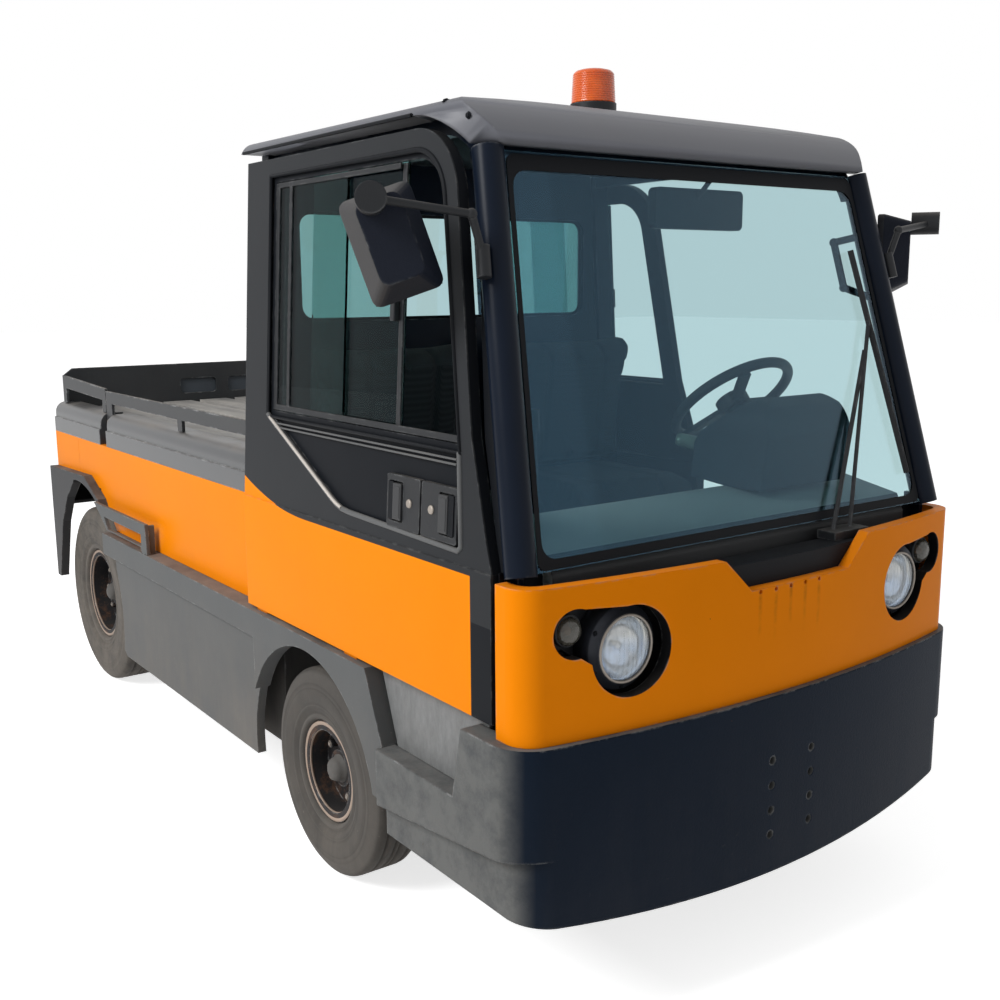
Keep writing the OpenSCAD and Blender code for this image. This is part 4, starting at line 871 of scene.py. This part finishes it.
# Doors: orange steel below, black above, with the paint line sweeping up towards the rear edge.
# A rubber section holds two sliding panes in thin black frames, with a pale bead along the panel's sloping
# edge as a painted highlight; two paddle latches sit under them.
# A pale bead laid along the sloping edge of the black panel: a painted highlight where the light catches that
# edge.
painted_highlight_bead = coat("painted_highlight_bead", (0.50, 0.46, 0.42), 0.5, dust=0.2, wear=1.0, bump=0.06, soft=0, scuff=0)
bead_grey = coat("bead_grey", (0.075, 0.078, 0.08), 0.5, dust=0.3, wear=0.6, bump=0.06, soft=0, scuff=0)
lean, sill_y, sill_z = math.radians(3.5), 0.678, 0.95
sash_low, sash_top, sash_r, sash_back = 0.220, 0.8116, 0.116, -0.201
corner = (0.703 - 0.17 * (sash_top - sash_r) - sash_r * 1.01435, sash_top - sash_r)
bend = [math.radians(9.65 + i * 80.35 / 12) for i in range(13)]
sash = [(sash_back, sash_low), (0.703 - 0.17 * sash_low, sash_low)]
sash += [(corner[0] + sash_r * math.cos(a), corner[1] + sash_r * math.sin(a))
         for a in bend] + [(sash_back, sash_top)]
sweep = [(sash_back, 0.225), (-0.185, 0.216), (0.150, 0.056), (0.172, 0.047), (0.197, 0.040), (0.230, 0.037),
         (0.670, 0.026), (0.681, 0.036), (0.6629, 0.222)]
pane_bars = (
    ((-0.184, -0.012, 0.238), (-0.166, -0.007, 0.793), 0.001),
    ((-0.113, -0.012, 0.238), (-0.099, -0.007, 0.793), 0.001),
    ((0.399, -0.019, 0.238), (0.415, -0.014, 0.793), 0.001),
    ((-0.184, -0.012, 0.238), (0.644, -0.0065, 0.252), 0.001),
    ((-0.184, -0.023, 0.238), (0.644, -0.0165, 0.247), 0.001),
    ((-0.184, -0.012, 0.782), (0.40, -0.0065, 0.794), 0.001),
    ((0.386, -0.014, 0.47), (0.404, 0.002, 0.53), 0.003))
tracks = [[(x, v) for x in (-0.16, 0.655)] for v in (0.196, 0.206)]
lock = [(0.0, 0.003), (0.004, 0.0035), (0.0085, 0.003), (0.0095, 0.001), (0.0095, -0.001), (0.0, -0.001)]
for out, slid, spot in ((-1, 0.0, "right"), (1, -0.76, "left")):
    body = f"{spot}_door"
    paint = body_paint(f"paint_{body}")
    tree = paint.node_tree
    at = place_on(tree)
    along, side = calc(tree, "SUBTRACT", at["X"], ax + slid), calc(tree, "ABSOLUTE", at["Y"])
    climb = calc(tree, "POWER",
                 calc(tree, "MULTIPLY", calc(tree, "SUBTRACT", 0.02, along, True), 2.7, True), 2.0)
    upper = calc(tree, "GREATER_THAN", at["Z"], calc(tree, "ADD", times(tree, climb, 0.07), 0.936))
    strip = calc(tree, "GREATER_THAN", along, 0.717)
    inner = calc(tree, "LESS_THAN", side, 0.652)
    black = calc(tree, "MAXIMUM", calc(tree, "MAXIMUM", upper, strip), inner)
    depth = calc(tree, "ADD", side, times(tree, calc(tree, "SUBTRACT", at["Z"], sill_z), math.tan(lean)))
    skin = between(tree, calc(tree, "GREATER_THAN", depth, 0.6745),
                   (0.010, 0.0115, 0.0145), (0.030, 0.032, 0.035))
    tint(paint, between(tree, black, orange, skin))
    dress(paint, f"door_{spot}")
    dress(black_plastic, f"door_{spot}_latches")
    c, s = math.cos(lean), math.sin(lean)
    plane = Matrix(((1, 0, 0, ax + slid), (0, out * c, -out * s, out * sill_y), (0, s, c, sill_z),
                    (0, 0, 0, 1)))
    for label, paths, depth, radius, mat, closed in (
            ("window_seal", [sash], -0.001, 0.006, seal, True),
            ("panel_seal", [sweep], -0.001, 0.0065, bead_grey, False),
            ("panel_highlight_bead", [[(x + 0.001, v + 0.003) for x, v in sweep[1:5]]], 0.003, 0.004, painted_highlight_bead, False),
            ("window_tracks", tracks, 0.0, 0.0024, bead_grey, False)):
        lines = [[plane @ Vector((x, depth, v)) for x, v in path] for path in paths]
        trim(f"{label}_{body}", lines, radius, body, mat, closed)
    bm = bmesh.new()
    for lo, hi, bevel in pane_bars:
        slab(bm, lo, hi, bevel, plane)
    piece(f"pane_frames_{body}", bm, body, black_plastic, False)
    bm = bmesh.new()
    for x0, x1 in ((0.431, 0.463), (0.607, 0.639)):
        slab(bm, (x0, -0.001, 0.054), (x1, 0.0085, 0.132), 0.0015, plane)
        slab(bm, (x0 + 0.004, 0.0085, 0.060), (x1 - 0.004, 0.0095, 0.126), 0.0004, plane)
    piece(f"latch_paddles_{body}", bm, body, inner_black, False)
    bm = bmesh.new()
    for x0, x1 in ((0.411, 0.430), (0.640, 0.659)):
        slab(bm, (x0, -0.003, 0.052), (x1, 0.0066, 0.134), 0.0005, plane)
    piece(f"latch_slots_{body}", bm, body, seal, False)
    bm = bmesh.new()
    for x in (0.492, 0.576):
        turned(bm, lock, plane @ Vector((x, 0.004, 0.095)), plane.to_3x3() @ Vector((0, 1, 0)), 24)
    piece(f"latch_locks_{body}", bm, body, worn_steel)

# Mirrors: black tube arms clamped to the windscreen pillars, with plastic housings whose sides are painted
# light grey as painted light where the sun falls.
# The silvered glass faces the driver in a thin rubber rim.
mirror_blue = (0.011, 0.0140, 0.023)
mirror_black = coat("mirror_plastic", mirror_blue, 0.5, dust=0.08, wear=0.5, bump=0.3, soft=0.008, gloss=0.1)
tree = mirror_black.node_tree
# Faces turned away from the front are painted light grey: painted light on the sunlit sides of the housings.
tint(mirror_black, between(tree, ramp(tree, facing(tree)["X"], 0.7, 0.35), mirror_blue,
                           (0.055, 0.054, 0.055)))
dress(mirror_black, "mirror_heads")
dress(black_plastic, "mirror_arms")
mirror_glass, tree, shader = plain("mirror_glass")
shader.inputs["Metallic"].default_value = 1
shader.inputs["Base Color"].default_value = (0.75, 0.78, 0.8, 1)
tree.links.new(spread(tree, mottle(tree, 18.0), 0.01, 0.1), shader.inputs["Roughness"])
ball, head_mid, glass_x = (0.6583, 0.8459, 1.646), (-0.0453, -0.010, -0.086), -0.0795
for out, spot, swing, roll in ((1, "left", 34, -5), (-1, "right", 30, -19)):
    turn = Matrix.Rotation(math.radians(swing), 4, "Z") @ Matrix.Rotation(math.radians(roll), 4, "X")
    head = Matrix.Translation((ax, 0, 0)) @ Matrix.Diagonal((1, out, 1, 1)) @ Matrix.Translation(ball)
    head = head @ turn @ Matrix.Translation(head_mid)
    bm = bmesh.new()
    slab(bm, (glass_x - 0.0015, -0.064, -0.096), (glass_x, 0.064, 0.096), 0.0006, head)
    piece(f"mirror_glass_{spot}", bm, "chassis", mirror_glass, False)
    rim = [(glass_x, y, z) for y, z in ((-0.066, -0.098), (0.066, -0.098), (0.066, 0.098), (-0.066, 0.098))]
    trim(f"mirror_rim_{spot}", [[head @ Vector(p) for p in rim]], 0.003, "chassis", seal,
         True)

# Beacon: a ribbed amber dome on a black base.
# The dome is one plastic moulding with rings all the way up.
amber, tree, shader = plain("amber_lens")
shader.inputs["Roughness"].default_value = 0.22
shader.inputs["Transmission Weight"].default_value = 0.2
uneven = ramp(tree, mottle(tree, 12.0), 0.35, 0.65)
tree.links.new(between(tree, uneven, (0.76, 0.095, 0.004), (0.95, 0.165, 0.010)), shader.inputs["Base Color"])
lo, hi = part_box("beacon_lens")
seat = Vector(((lo.x + hi.x) / 2, (lo.y + hi.y) / 2, lo.z))
tall = hi.z - lo.z
profile = [(0.0, 0.0005), (0.0537, 0.0005), (0.0537, 0.004)]
for i in range(12):
    z, r = 0.006 + i * 0.0053, 0.0524 - 0.0036 * i / 12
    profile += [(r, z), (r + 0.0011, z + 0.0018), (r + 0.0011, z + 0.0030), (r, z + 0.0045)]
profile += [(0.048, tall - 0.010), (0.043, tall - 0.0055), (0.03, tall - 0.002), (0.0, tall)]
dome = spun("beacon_dome", profile, seat, (0, 0, 1), 56, "chassis", amber)
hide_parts("beacon_lens")

size = {"cad": [list(v) for v in cad_box], "visual": [list(v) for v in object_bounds()]}
